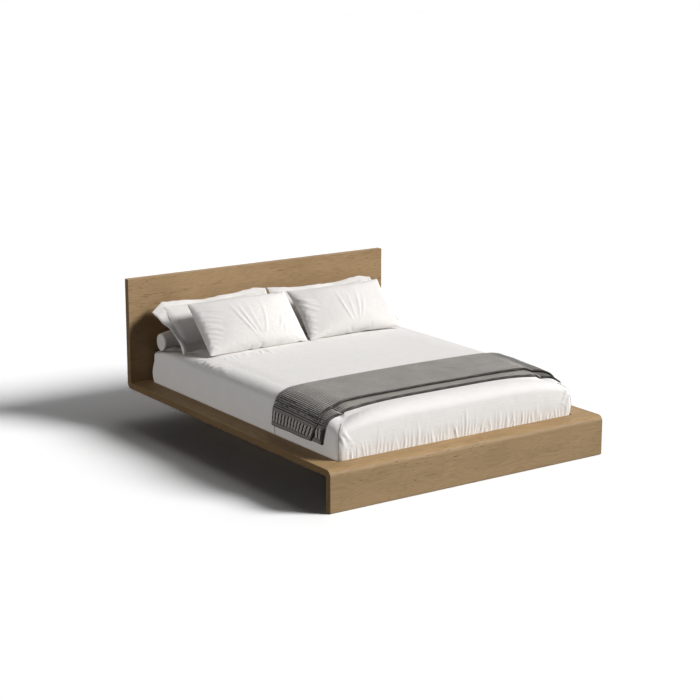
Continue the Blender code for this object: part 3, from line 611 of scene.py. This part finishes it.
# Pull lines that run from the boxed corners
for side in (-1, 1):
    for i in range(6):
        start = (side * (HALF_WIDTH - 0.012), 0.70 - 0.06 * i)
        end = (side * (HALF_WIDTH - 0.07 - 0.03 * i), 0.86 - 0.11 * i)
        lift += at_foot_wall * ridge(x, climb, start, end, 0.010, 0.0022, taper=0.4)
for start, end, height in (((0.792, 0.97), (0.705, 0.34), 0.0060), ((0.795, 0.85), (0.750, 0.20), 0.0040)):
    for side in (-1, 1):
        pull = ridge(x, climb, (side * start[0], start[1]), (side * end[0], end[1]), 0.011, height)
        lift += at_foot_wall * pull

normals = np.zeros_like(points)
corner_list = np.array(faces)
edge_1 = points[corner_list[:, 1]] - points[corner_list[:, 0]]
edge_2 = points[corner_list[:, 3]] - points[corner_list[:, 0]]
face_normals = np.cross(edge_1, edge_2)
for k in range(4):
    np.add.at(normals, corner_list[:, k], face_normals)
normals /= np.linalg.norm(normals, axis=1)[:, None]
normals *= np.sign((normals * (points - [0, MIDDLE_Y, BASE_Z])).sum(1))[:, None]
points = points + normals * lift[:, None]

sheet_cotton = cotton("percale_cotton_sheet", "#EAE8E5", "#E3E0DD", 0.0003)
fitted_sheet = mesh_piece("fitted_cotton_sheet", points, faces, sheet_cotton)
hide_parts("fitted_sheet")
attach(fitted_sheet, "mattress")
SHEET_SURFACE = BVHTree.FromPolygons([Vector(point) for point in points], faces)

# The sheet's seams are a narrow felled ridge: four from the hem up round the corners, and one in
# each long wall, below the throw, where its two lengths of cloth are joined
SEAM_SIDES, SEAM_RADIUS, SEAM_RISE, WALL_SEAM_Y, WALL_SEAM_TOP = 8, 0.0018, 0.0004, -0.374, 0.30


def tube_faces(first, rows, sides):
    """Faces of a closed tube whose rings of points follow each other from a place in a list."""
    faces = []
    for ring in range(first, first + (rows - 1) * sides, sides):
        faces += [(ring + k, ring + (k + 1) % sides) for k in range(sides)]
    faces = [(i, j, j + sides, i + sides) for i, j in faces]
    return faces + [tuple(range(end, end + sides)) for end in (first, first + (rows - 1) * sides)]


seam_lines = []
for side in (-1, 1):
    for end in (-1, 1):
        line = []
        for climb_share in np.linspace(0.05, 1, 16):
            line.append((BULGE * sin(pi * climb_share), climb_share, 0.0))
        for turn in np.linspace(0, 1.0, 6)[1:]:
            line.append((-SHOULDER_WIDTH * (1 - cos(turn)), 1.0, SHOULDER_DROP * sin(turn)))
        drawn_in = PLAN_RADIUS * (1 - sqrt(0.5))
        corner_x, corner_y = HALF_WIDTH - drawn_in, HALF_LENGTH - drawn_in
        crown = float(crown_height(np.array(corner_x), np.array(MIDDLE_Y + corner_y)))
        centres = []
        for outset, climb_share, rise in line:
            grown = outset + SHEET_SKIN
            x, y = side * corner_x * (1 + grown / HALF_WIDTH), end * corner_y * (1 + grown / HALF_LENGTH)
            height = BASE_Z + climb_share * (crown - SHOULDER_DROP - BASE_Z) + rise
            centres.append(Vector((x, MIDDLE_Y + y, height)))
        seam_lines.append((centres, Vector((-end, side, 0)).normalized()))
    # The one in the wall stops under the throw's hem
    wall_x = side * (HALF_WIDTH + BULGE)
    centres = [Vector((wall_x, WALL_SEAM_Y, z)) for z in np.linspace(BASE_Z + 0.021, WALL_SEAM_TOP, 12)]
    seam_lines.append((centres, Vector((0, side, 0))))
seam_points, seam_faces = [], []
for centres, aside in seam_lines:
    seam_faces += tube_faces(len(seam_points), len(centres), SEAM_SIDES)
    for centre in centres:
        on_cloth, out = SHEET_SURFACE.find_nearest(centre)[:2]
        for k in range(SEAM_SIDES):
            turn = 2 * pi * k / SEAM_SIDES
            round_it = SEAM_RADIUS * (cos(turn) * out + sin(turn) * aside)
            seam_points.append(on_cloth + SEAM_RISE * out + round_it)
# The thread's grey is painted shade: it stands in for the shadow line along each seam
seam_shade_thread = cotton("grey_thread_painted_seam_shade", "#96928E", "#8A8682", 0.0003)
sheet_seams = mesh_piece("sheet_seams", seam_points, seam_faces, seam_shade_thread)
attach(sheet_seams, "mattress")

# Pillows
# Two flanged shams lean on the bolster and two plain pillows lean on them. Each is a cotton case
# filled loosely enough to draw its sides in between the corners and to crease where it is folded.

FILL_FRAMES, FILL_PRESSURE = 24, 2.0
CASE_COLUMNS, CASE_ROWS, CASE_AIR, CASE_UNEVENNESS = 84, 48, 0.020, 0.00006
pillow_cotton = cotton("sateen_cotton_case", "#DCD9D6", "#D5D2CF", 0.0003)


def flat_case(name, width, height):
    """Two flat layers of cloth joined at their border, with a little air between them."""
    u, v = np.meshgrid(np.linspace(-1, 1, CASE_COLUMNS), np.linspace(-1, 1, CASE_ROWS))
    air = CASE_AIR * (1 - u**2) * (1 - v**2) + CASE_UNEVENNESS * chance.standard_normal(u.shape)
    points = np.stack([u.ravel() * width / 2, v.ravel() * height / 2, air.ravel()], 1)
    rim = set(border(CASE_COLUMNS, CASE_ROWS).tolist())
    points[sorted(rim), 2] = 0
    inner = [i for i in range(len(points)) if i not in rim]
    behind = {i: i for i in rim} | {i: len(points) + k for k, i in enumerate(inner)}
    faces = quads(CASE_COLUMNS, CASE_ROWS)
    faces += [tuple(behind[i] for i in reversed(face)) for face in faces]
    return mesh_piece(name, np.concatenate([points, points[inner] * [1, 1, -1]]), faces, pillow_cotton)


def start_filling(case, volume):
    filling = case.modifiers.new("filling", "CLOTH")
    cloth = filling.settings
    cloth.quality = 5
    cloth.mass = 0.05
    cloth.air_damping = 10
    cloth.tension_stiffness = 25
    cloth.compression_stiffness = 10
    cloth.shear_stiffness = 5
    cloth.bending_stiffness = 0.15
    cloth.use_pressure = True
    cloth.uniform_pressure_force = FILL_PRESSURE
    cloth.use_pressure_volume = True
    cloth.target_volume = volume
    cloth.effector_weights.gravity = 0
    filling.collision_settings.use_collision = False
    filling.point_cache.frame_start = 1
    filling.point_cache.frame_end = FILL_FRAMES


SHAM_FILL, PILLOW_SIZE = (0.700, 0.360), (0.685, 0.376)
cases = {}
for row, size, volume in (("rear", SHAM_FILL, 0.0125), ("front", PILLOW_SIZE, 0.0160)):
    for side in ("left", "right"):
        cases[row, side] = flat_case(row + "_" + side + "_case", *size)
        start_filling(cases[row, side], volume)
for frame_number in range(1, FILL_FRAMES + 1):
    scene.frame_set(frame_number)


def evaluated_mesh(made):
    return bpy.data.meshes.new_from_object(made.evaluated_get(bpy.context.evaluated_depsgraph_get()))


def filled(case, size, front_crown, back_crown):
    """The filled case's points and faces, brought to its full size: across, up and out."""
    smoothing = case.modifiers.new("smoothing", "SUBSURF")
    smoothing.levels = smoothing.render_levels = 1
    settled = evaluated_mesh(case)
    points = np.zeros(len(settled.vertices) * 3)
    settled.vertices.foreach_get("co", points)
    points = points.reshape(-1, 3)
    faces = [tuple(face.vertices) for face in settled.polygons]
    for axis in (0, 1):
        points[:, axis] -= (points[:, axis].max() + points[:, axis].min()) / 2
        points[:, axis] *= size[axis] / 2 / points[:, axis].max()
    out = points[:, 2] > 0
    points[out, 2] *= front_crown / points[:, 2].max()
    points[~out, 2] *= back_crown / -points[:, 2].min()
    bpy.data.meshes.remove(settled)
    return points, faces


def laid_back(points, node, height, centre, seam_y, lean):
    """Leans a pillow back in its place and presses it on the sheet below it."""
    low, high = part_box(node)
    foot_z = high.z - height * sin(lean) - 0.0015 * cos(lean)
    across, up, out = points.T
    placed = np.stack([
        centre + across,
        seam_y + up * cos(lean) - out * sin(lean),
        foot_z + up * sin(lean) + out * cos(lean),
    ], 1)
    for place in placed:
        below = SHEET_SURFACE.ray_cast(Vector((place[0], place[1], 1.0)), Vector((0, 0, -1)))[0]
        if below:
            place[2] = max(place[2], below.z + 0.001)
    # The seam rests on the sheet here and there only, and its shade shows in between
    scallop = 0.5 + 0.5 * np.sin(37 * across + 3 * np.sin(17 * across + height))
    placed[:, 2] += 0.006 * scallop**3 * (1 - smooth_step(up, 0.004, 0.030))
    return placed


def add_folds(points, folds):
    """Sculpts soft folds into the front of a case; each runs from a place to another."""
    across, up, out = points.T
    front = smooth_step(out, 0.0, 0.012)
    for start, end, width, height, bend, taper in folds:
        points[:, 2] += front * ridge(across, up, start, end, width, height, bend, taper)


# Long folds fan out from where each pillow is bent over its own foot, and short ones from its side
front_folds = {
    "left": [
        ((0.018, 0.015), (-0.120, 0.350), 0.012, 0.0036, 0.030, 0.90),
        ((0.024, 0.020), (-0.066, 0.360), 0.011, 0.0030, 0.028, 0.95),
        ((0.030, 0.040), (0.000, 0.330), 0.014, 0.0016, 0.018, 0.90),
        ((0.034, 0.035), (0.108, 0.340), 0.013, 0.0024, -0.010, 0.80),
        ((0.140, 0.070), (0.222, 0.220), 0.012, 0.0024, -0.008, 0.85),
        ((0.185, 0.040), (0.205, 0.150), 0.011, 0.0018, 0.000, 0.85),
    ],
    "right": [
        ((-0.006, 0.018), (-0.052, 0.325), 0.012, 0.0032, 0.014, 0.95),
        ((0.000, 0.030), (0.030, 0.320), 0.012, 0.0018, 0.006, 0.85),
        ((0.008, 0.020), (0.100, 0.335), 0.013, 0.0026, -0.012, 0.90),
        ((0.016, 0.030), (0.152, 0.300), 0.013, 0.0022, -0.014, 0.85),
        ((-0.335, 0.300), (-0.190, 0.225), 0.018, 0.0072, -0.010, 0.70),
        ((-0.330, 0.250), (-0.200, 0.175), 0.015, 0.0060, -0.008, 0.70),
    ],
}
for folds, number in ((front_folds["left"], 9), (front_folds["right"], 7)):
    for i in range(number):
        up = 0.040 + 0.27 * i / number + draw(-0.006, 0.006)
        reach = (0.07 + 0.13 * i / number) * draw(0.8, 1.2)
        fall = reach * draw(0.25, 0.45)
        width, height = draw(0.0085, 0.0120), draw(0.0034, 0.0060)
        bend = draw(0.10, 0.16) * reach
        folds.append(((-0.338, up), (-0.338 + reach, up - fall), width, height, bend, 0.6))
    for i in range(6):
        up = 0.06 + 0.045 * i
        reach = draw(0.04, 0.09)
        folds.append(((0.332, up), (0.332 - reach, up + 0.02), 0.009, draw(0.0016, 0.0034), 0.0, 0.5))

PILLOW_X, PILLOW_SEAM_Y, PILLOW_LEAN = 0.351, 0.508, radians(45)
PILLOW_BACK, PILLOW_END_FALL = 0.050, 0.27
for side, sign, crown in (("left", -1, 0.090), ("right", 1, 0.074)):
    points, faces = filled(cases["front", side], PILLOW_SIZE, crown, PILLOW_BACK)
    points[:, 2] *= 1 - PILLOW_END_FALL * np.abs(points[:, 0] / (PILLOW_SIZE[0] / 2)) ** 2.2
    points[:, 1] += PILLOW_SIZE[1] / 2
    add_folds(points, front_folds[side])
    node = "front_" + side + "_pillow"
    points = laid_back(points, node, PILLOW_SIZE[1], sign * PILLOW_X, PILLOW_SEAM_Y, PILLOW_LEAN)
    pillow = mesh_piece("front_" + side + "_cotton_pillow", points, faces, pillow_cotton)
    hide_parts(node)
    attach(pillow, node)

SHAM_SIZE, SHAM_FRONT, SHAM_BACK = (0.780, 0.440), 0.034, 0.068
SHAM_X, SHAM_SEAM_Y, SHAM_LEAN = 0.399, 0.668, radians(36)
FLANGE_ROWS, FLANGE_COUNT, FLANGE_HALF = 6, 520, 0.0012
SAG_PLACES = (-0.39, -0.28, -0.15, 0.00, 0.12, 0.25, 0.33, 0.39)
SAGS = {
    "left": (0.022, 0.030, 0.030, 0.027, 0.022, 0.012, 0.014, 0.032),
    "right": (0.020, 0.034, 0.046, 0.046, 0.034, 0.024, 0.018, 0.045),
}


def flange(first, sign):
    """A sham's flange, a flat double hem outside the seam that waves where the filling pulls on
    it: its points and its faces, whose points follow others in a list."""
    points, faces = [], []
    half_a, half_b = SHAM_FILL[0] / 2 * 0.985, SHAM_FILL[1] / 2 * 0.975
    for row in range(FLANGE_ROWS + 1):
        out_share = row / FLANGE_ROWS
        wide = half_a + (SHAM_SIZE[0] / 2 - half_a) * out_share
        high = half_b + (SHAM_SIZE[1] / 2 - half_b) * out_share
        pull = 0.055 - 0.020 * out_share
        for i in range(FLANGE_COUNT):
            share = 4 * i / FLANGE_COUNT
            along = 2 * (share % 1) - 1
            u, v = ((along, -1), (1, along), (-along, 1), (-1, -along))[int(share)]
            wave = 0.006 * sin(share * 7.3 + sign) + 0.004 * sin(share * 17.1 + 2 * sign)
            a, b = wide * u * (1 - pull * (1 - v * v)), high * v * (1 - pull * 1.3 * (1 - u * u))
            points.append((a, b, wave * out_share))
    layer = len(points)
    for row in range(FLANGE_ROWS):
        for i in range(FLANGE_COUNT):
            near, far = row * FLANGE_COUNT + i, row * FLANGE_COUNT + (i + 1) % FLANGE_COUNT
            quad = [first + k for k in (near, far, far + FLANGE_COUNT, near + FLANGE_COUNT)]
            faces += [tuple(quad), tuple(layer + k for k in reversed(quad))]
    for row in (0, FLANGE_ROWS):
        for i in range(FLANGE_COUNT):
            near, far = (first + row * FLANGE_COUNT + k % FLANGE_COUNT for k in (i, i + 1))
            faces.append((far, near, near + layer, far + layer))
    points = np.array(points)
    return np.concatenate([points + [0, 0, FLANGE_HALF], points - [0, 0, FLANGE_HALF]]), faces


for side, sign in (("left", -1), ("right", 1)):
    points, faces = filled(cases["rear", side], SHAM_FILL, SHAM_FRONT, SHAM_BACK)
    flange_points, flange_faces = flange(len(points), sign)
    points = np.concatenate([points, flange_points])
    points[:, 1] += SHAM_SIZE[1] / 2
    # The top edge sags between the corners, and the left sham's flange flops over at its corner
    across, up, _ = points.T
    sag = [np.interp(across + step, SAG_PLACES, SAGS[side]) for step in np.linspace(-0.03, 0.03, 9)]
    sag = np.mean(sag, axis=0) + 0.0016 * np.sin(52 * across + 2 * np.sin(23 * across))
    near_top = smooth_step(up, 0.22, 0.43)
    if side == "left":
        flop = np.clip((-across - 0.343) / 0.042, 0, 1) * smooth_step(up, 0.10, 0.44)
        points += np.stack([-0.038 * flop, -0.057 * flop, -0.020 * flop], 1)
    points[:, 1] -= sag * near_top
    node = "rear_" + side + "_pillow"
    points = laid_back(points, node, SHAM_SIZE[1], sign * SHAM_X, SHAM_SEAM_Y, SHAM_LEAN)
    sham = mesh_piece("rear_" + side + "_cotton_sham", points, faces + flange_faces, pillow_cotton)
    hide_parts(node)
    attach(sham, node)

for case in cases.values():
    bpy.data.objects.remove(case)
scene.frame_set(1)

# Bolster
# A long round cushion lies against the headboard behind the pillows. Its cotton cover is closed at
# each end by a flat disc with a corded seam.

BOLSTER_RADIUS, BOLSTER_HALF, BOLSTER_Y, BOLSTER_SIDES = 0.053, 0.780, 0.955, 72
bolster_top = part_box("bolster")[1].z
bolster_sink = float(crown_height(np.array(0.0), np.array(BOLSTER_Y))) + 2 * BOLSTER_RADIUS - bolster_top
bolster_points = []
stations = [(-BOLSTER_HALF, 0.90), (-BOLSTER_HALF + 0.001, 0.965)]
stations += [(x, 1.0) for x in np.linspace(-BOLSTER_HALF + 0.006, BOLSTER_HALF - 0.006, 150)]
stations += [(BOLSTER_HALF - 0.001, 0.965), (BOLSTER_HALF, 0.90)]
for x, share in stations:
    centre_z = float(crown_height(np.array(x), np.array(BOLSTER_Y))) + BOLSTER_RADIUS - bolster_sink
    from_end = BOLSTER_HALF - abs(x)
    for k in range(BOLSTER_SIDES):
        turn = 2 * pi * k / BOLSTER_SIDES
        pucker = 0.0012 * sin(19 * turn + 3 * sin(2 * turn)) * exp(-from_end / 0.03)
        slack = 0.0012 * sin(9 * x + 2 * turn) * sin(23 * x - turn) - 0.0012
        radius = BOLSTER_RADIUS * share + pucker + slack
        bolster_points.append((x, BOLSTER_Y + radius * cos(turn), centre_z + radius * sin(turn)))
bolster_faces = tube_faces(0, len(stations), BOLSTER_SIDES)
bolster = mesh_piece("cotton_bolster", bolster_points, bolster_faces, pillow_cotton)
bolster.data.set_sharp_from_angle(angle=radians(60))
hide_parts("bolster")
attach(bolster, "bolster")

# Throw
# A grey wool throw in a ribbed knit, folded once along its length with the fold to the head. It
# lies across the bed near the foot and hangs down both sides to a corded band and a plaited hem.

THROW_BACK, UPPER_FRONT, LOWER_FRONT = -0.360, -0.770, -0.842
THROW_HEM, HEM_SLANT, UPPER_SLANT, FOLD_DEPTH, FOLD_PITCH = 0.292, 0.012, 0.042, 0.005, 0.220
SWING, UPPER_SWING = 0.026, 0.020
KNIT_THICKNESS, LAYER_STEP, THROW_EASE = 0.0080, 0.0098, 0.0008
RIB_COUNT, LOWER_COUNT, FOLD_COUNT, UPPER_COUNT = 164, 45, 9, 42
ACROSS_COUNT = 3 * RIB_COUNT + 1


def throw_paths(y, lift):
    """Paths over the bed at places along it, each from the middle to the right hem."""
    skin = SHEET_SKIN + THROW_EASE + lift
    edge = crown_height(np.full_like(y, HALF_WIDTH), y)
    inner = HALF_WIDTH - SHOULDER_WIDTH
    legs = []
    for x in np.linspace(0, inner, 40):
        legs.append((np.full_like(y, x), crown_height(np.full_like(y, x), y) + skin, y))
    forward = (THROW_BACK - y) / (THROW_BACK - UPPER_FRONT)
    swing = SWING + UPPER_SWING * forward * (lift > LAYER_STEP)
    for turn in np.linspace(pi / 2, 0, 13)[1:]:
        x = inner + (SHOULDER_WIDTH + BULGE + skin) * cos(turn)
        height = edge - SHOULDER_DROP + (SHOULDER_DROP + skin) * sin(turn)
        legs.append((x, height, y - swing * cos(turn)))
    ripple = FOLD_DEPTH * (1 + np.cos(2 * pi * y / FOLD_PITCH)) / 2
    slant = HEM_SLANT + UPPER_SLANT * forward * (lift > LAYER_STEP)
    for hang in np.linspace(0, 1, 20)[1:]:
        x = HALF_WIDTH + BULGE + skin + ripple * hang
        height = THROW_HEM + (1 - hang) * (edge - SHOULDER_DROP - THROW_HEM)
        legs.append((x, height, y - swing + slant * hang))
    return np.array([(x, y_here, z) for x, z, y_here in legs])


half_fold = LAYER_STEP / 2
fold_turns = np.linspace(0, pi, FOLD_COUNT)
lower_y = np.linspace(LOWER_FRONT, THROW_BACK - half_fold, LOWER_COUNT + 1)[:-1]
upper_y = np.linspace(THROW_BACK - half_fold, UPPER_FRONT, UPPER_COUNT + 1)[1:]
knit_y = np.concatenate([lower_y, THROW_BACK - half_fold + half_fold * np.sin(fold_turns), upper_y])
base_lift = KNIT_THICKNESS / 2
knit_lift = np.concatenate([
    np.full(len(lower_y), base_lift),
    base_lift + half_fold * (1 - np.cos(fold_turns)),
    np.full(len(upper_y), base_lift + LAYER_STEP),
])
paths = throw_paths(knit_y, knit_lift)
steps = np.linalg.norm(np.diff(paths, axis=0), axis=1)
lengths = np.concatenate([np.zeros((1, len(knit_y))), np.cumsum(steps, axis=0)])
half_flat = float(lengths[-1].mean())
shares = np.linspace(-1, 1, ACROSS_COUNT)
grid = np.zeros((ACROSS_COUNT, len(knit_y), 3))
for j in range(len(knit_y)):
    for axis in range(3):
        grid[:, j, axis] = np.interp(np.abs(shares) * lengths[-1, j], lengths[:, j], paths[:, axis, j])
grid[:, :, 0] *= np.sign(shares)[:, None]
knit_lengths = np.concatenate([[0], np.cumsum(np.hypot(np.diff(knit_y), np.diff(knit_lift)))])
flat_length = float(knit_lengths[-1])

# The lower layer follows the sheet, and the upper one follows the lower with a little slack
for i in range(ACROSS_COUNT):
    for j in range(len(knit_y)):
        place = Vector(grid[i, j])
        slack = 0.0
        if j > LOWER_COUNT + FOLD_COUNT:
            x, y = place.x, place.y
            slack = 0.0016 * (1 + sin(9 * x + 4 * sin(7 * y)) * sin(13 * y - 5 * x))
            slack += float(ridge(x, y, (0.16, -0.47), (0.36, -0.62), 0.016, 0.0035))
        if place.z > BASE_Z + EDGE_HEIGHT - 0.02:
            near, normal, _, _ = SHEET_SURFACE.find_nearest(place)
            if normal.dot(place - near) < 0:
                normal = -normal
            settled = near + normal * (knit_lift[j] + THROW_EASE + slack)
            share = min(1.0, (place.z - BASE_Z - EDGE_HEIGHT + 0.02) / 0.02)
            grid[i, j] = place.lerp(settled, share)

RIB_PITCH, LOOP_LENGTH = 2 * half_flat / RIB_COUNT, 0.0110
BAND_CORDS, CORD_PITCH, PLAIT_WIDTH, YARN_SIDES, YARN_RISE = 0.088, 0.030, 0.026, 7, 0.0012


def knit(name, light, dark, in_band):
    """Ribbed wool knit from its flat place in metres. A 4 mm rib is drawn at 12 mm to show."""
    made, tree = shader(name)

    def hump(pitches):
        """How far from the middle of its pitch a place lies, and a round hump along the pitch."""
        off_centre = add(tree, "Math", PLUS, add(tree, "Math", FRACTION, pitches), -0.5)
        off_centre = add(tree, "Math", SIZE, off_centre)
        squared = add(tree, "Math", TIMES, off_centre, off_centre)
        return off_centre, add(tree, "Math", MINUS, 1.0, add(tree, "Math", TIMES, squared, 4.0))

    flat = add(tree, "SeparateXYZ", {}, add(tree, "UVMap", {"uv_map": "flat_cloth"}))
    across, along = flat.outputs[0], flat.outputs[1]
    off_centre, rib_height = hump(add(tree, "Math", {"operation": "DIVIDE"}, across, RIB_PITCH))
    loops = add(tree, "Math", {"operation": "DIVIDE"}, along, LOOP_LENGTH)
    loops = add(tree, "Math", PLUS, loops, add(tree, "Math", TIMES, off_centre, 1.6))
    loop_height = hump(loops)[1]
    if in_band:
        # The band's ground is a fine purl, sunk and darker between the cords; its loop hollows carry
        # painted shade
        height = add(tree, "Math", TIMES, loop_height, 0.5)
    else:
        height = add(tree, "Math", PLUS, add(tree, "Math", TIMES, loop_height, 0.55), 0.45)
        height = add(tree, "Math", TIMES, rib_height, height)
    place = add(tree, "TexCoord", {}).outputs["Object"]
    fuzz = add(tree, "TexNoise", {"Vector": place, "Scale": 420.0, "Detail": 3.0})
    fuzz = add(tree, "Math", TIMES, fuzz, 0.25)
    blotch = add(tree, "TexNoise", {"Vector": place, "Scale": 9.0, "Detail": 3.0})
    blotch = add(tree, "Math", TIMES, add(tree, "Math", PLUS, blotch, -0.5), 0.25)
    # Painted shade: the colour runs from the dark tone in the rib furrows and loop hollows to the light
    # tone on the rib tops
    shade = add(tree, "Math", PLUS, add(tree, "Math", TIMES, height, 0.75), fuzz)
    shade = add(tree, "Math", PLUS, shade, blotch)
    # Painted shade: the colour is taken darker towards the two ends of the throw, which hang down the sides
    # in shade
    hang_shade = {1: half_flat - 0.36, 2: half_flat - 0.20, 3: 0.0, 4: 0.36}
    hang_shade = add(tree, "MapRange", hang_shade, add(tree, "Math", SIZE, across))
    shade = add(tree, "Math", MINUS, shade, hang_shade)
    tint = {"data_type": "RGBA", 0: shade, 6: linear(dark), 7: linear(light)}
    relief = {"Height": add(tree, "Math", PLUS, height, fuzz), "Strength": 1.0, "Distance": 0.0026}
    wool = {"Base Color": add(tree, "Mix", tint).outputs[2], "Normal": add(tree, "Bump", relief)}
    wool.update({"Roughness": 0.95, "Sheen Weight": 0.2, "Sheen Roughness": 0.5})
    wool["Specular IOR Level"] = 0.15
    add(tree, "OutputMaterial", {"Surface": add(tree, "BsdfPrincipled", wool)})
    return made


# The near-black tone is painted shade for the furrows between the ribs
ribbed_wool = knit("ribbed_wool_knit", "#EAE4DC", "#23211F", False)
band_wool = knit("purled_wool_band", "#45413D", "#262321", True)
# The knit's rim is near black: painted shade for the gap under the edge of each layer
rim_shade_wool = surfaced("throw_rim_painted_shade", "#2C2927", "#1D1B1A", 0.004, 0.95, 0.0010)
columns = len(knit_y)
throw = mesh_piece("grey_knitted_throw", grid.reshape(-1, 3), quads(columns, ACROSS_COUNT), ribbed_wool)
throw.data.materials.append(band_wool)
throw.data.materials.append(rim_shade_wool)
flat_uv = throw.data.uv_layers.new(name="flat_cloth")
for loop in throw.data.loops:
    i, j = divmod(loop.vertex_index, columns)
    flat_uv.data[loop.index].uv = (shares[i] * half_flat, knit_lengths[j])
for face in throw.data.polygons:
    i = min(corner // columns for corner in face.vertices)
    from_hem = half_flat * (1 - abs((shares[i] + shares[i + 1]) / 2))
    face.material_index = 1 if from_hem < BAND_CORDS + 0.004 else 0
# Every third line of the mesh lies in a furrow between two ribs, where the knit is thin
thick = throw.vertex_groups.new(name="rib_height")
for i in range(ACROSS_COUNT):
    in_band = half_flat * (1 - abs(shares[i])) < BAND_CORDS
    thick.add(list(range(i * columns, (i + 1) * columns)), 0.8 if in_band else float(i % 3 > 0), "REPLACE")
body = throw.modifiers.new("knit_thickness", "SOLIDIFY")
body.thickness = KNIT_THICKNESS
body.offset = 0.0
body.vertex_group = "rib_height"
body.thickness_vertex_group = 0.40
body.material_offset_rim = 2

# Cords, plaits and stitches are wool yarn laid along lines on the knit
yarn_tree = bpy.data.node_groups.new("yarn_along_lines", "GeometryNodeTree")
yarn_tree.interface.new_socket("Lines", in_out="INPUT", socket_type="NodeSocketGeometry")
yarn_radius = yarn_tree.interface.new_socket("Yarn radius", in_out="INPUT", socket_type="NodeSocketFloat")
yarn_material = yarn_tree.interface.new_socket("Yarn", in_out="INPUT", socket_type="NodeSocketMaterial")
yarn_tree.interface.new_socket("Yarn", in_out="OUTPUT", socket_type="NodeSocketGeometry")
given = yarn_tree.nodes.new("NodeGroupInput")
lines = add(yarn_tree, "MeshToCurve", {}, given.outputs["Lines"])
ring = {"Resolution": YARN_SIDES, "Radius": given.outputs["Yarn radius"]}
tube = {"Curve": lines, "Profile Curve": add(yarn_tree, "CurvePrimitiveCircle", ring), "Fill Caps": True}
tube = add(yarn_tree, "SetShadeSmooth", {}, add(yarn_tree, "CurveToMesh", tube))
tube = add(yarn_tree, "RealizeInstances", {}, tube)
tube = add(yarn_tree, "SetMaterial", {"Material": given.outputs[2]}, tube)
yarn_tree.links.new(tube.outputs[0], yarn_tree.nodes.new("NodeGroupOutput").inputs[0])


def yarn(name, runs, radius, material):
    """A piece of yarn along every run of points."""
    points = [tuple(float(c) for c in point) for run in runs for point in run]
    edges, first = [], 0
    for run in runs:
        edges += [(first + k, first + k + 1) for k in range(len(run) - 1)]
        first += len(run)
    mesh = bpy.data.meshes.new(name + "_lines")
    mesh.from_pydata(points, edges, [])
    layout = new_object(name + "_lines", mesh)
    grown = layout.modifiers.new("yarn", "NODES")
    grown.node_group = yarn_tree
    grown[yarn_radius.identifier] = radius
    grown[yarn_material.identifier] = material
    made = new_object(name, evaluated_mesh(layout))
    bpy.data.objects.remove(layout)
    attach(made, "throw")
    return made


grid_out = np.cross(np.gradient(grid, axis=0), np.gradient(grid, axis=1))
grid_out /= np.linalg.norm(grid_out, axis=2)[:, :, None]
grid_out *= np.sign(grid_out[ACROSS_COUNT // 2, columns - 1, 2])


def on_knit(across, along, out):
    """The place at flat coordinates of the throw, so far out of its middle surface."""
    i = (np.clip(across / half_flat, -1, 1) + 1) / 2 * (ACROSS_COUNT - 1)
    j = np.interp(along, knit_lengths, np.arange(columns))
    i0, j0 = min(int(i), ACROSS_COUNT - 2), min(int(j), columns - 2)
    a, b = i - i0, j - j0
    weights = ((i0, j0, (1 - a) * (1 - b)), (i0 + 1, j0, a * (1 - b)))
    weights += ((i0, j0 + 1, (1 - a) * b), (i0 + 1, j0 + 1, a * b))
    place = sum(w * grid[k, m] for k, m, w in weights)
    way = sum(w * grid_out[k, m] for k, m, w in weights)
    return place + way / np.linalg.norm(way) * out


pale_wool = surfaced("pale_wool_cord", "#E0DCD6", "#B5B0AA", 0.003, 0.95, 0.0012)
plait_wool = surfaced("grey_wool_plait", "#A5A09A", "#5C5854", 0.003, 0.95, 0.0012)
# The edge stitches are mid grey: painted shade that carries the dark line along the layers' edges
stitch_shade_wool = surfaced("edge_stitch_painted_shade", "#736E69", "#3B3734", 0.003, 0.95, 0.0012)
face_out = KNIT_THICKNESS / 2
# Ends and sides of what shows: the whole upper layer, and the lower one in front of it
upper_span = (flat_length - 0.405, flat_length - 0.008)
lower_span = (0.008, 0.118)
cords, plaits, stitches = [], [], []
for end in (-1, 1):
    for (span_start, span_end), outward in ((upper_span, 1), (lower_span, -1)):
        along = span_start + 0.022
        while along < span_end - 0.012:
            places = np.linspace(half_flat - BAND_CORDS, half_flat - PLAIT_WIDTH, 9)
            for strand in (-1, 1):
                run = []
                for k, place in enumerate(places):
                    sway = 0.0046 * strand + 0.0016 * sin(k * 1.7 + strand)
                    run.append(on_knit(end * place, along + sway, outward * (face_out + YARN_RISE)))
                cords.append(run)
            along += CORD_PITCH
        for inset, width in ((PLAIT_WIDTH * 0.5, 0.0075), (BAND_CORDS + 0.004, 0.0030)):
            for strand in range(3):
                run = []
                for along in np.arange(span_start, span_end, 0.0028):
                    turn = 2 * pi * along / 0.026 + 2 * pi * strand / 3
                    across = end * (half_flat - inset + width * sin(turn))
                    run.append(on_knit(across, along, outward * (face_out + YARN_RISE * cos(2 * turn))))
                plaits.append(run)
for edge_along, inward, outward in ((flat_length, -1, 1), (0.0, 1, -1)):
    for across in np.arange(-half_flat + 0.008, half_flat - 0.004, 0.0105):
        stitches.append([
            on_knit(across + aside, edge_along + inward * back, outward * (face_out + rise))
            for aside, back, rise in ((0.0012, 0.013, 0.0006), (0.0006, 0.006, 0.0012), (0, 0.0004, 0.0006))
        ])
band_cords = yarn("throw_band_cords", cords, 0.0030, pale_wool)
band_plaits = yarn("throw_plaited_hems", plaits, 0.0026, plait_wool)
edge_stitches = yarn("throw_edge_stitches", stitches, 0.0022, stitch_shade_wool)
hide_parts("throw_blanket")
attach(throw, "throw")

low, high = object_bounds()
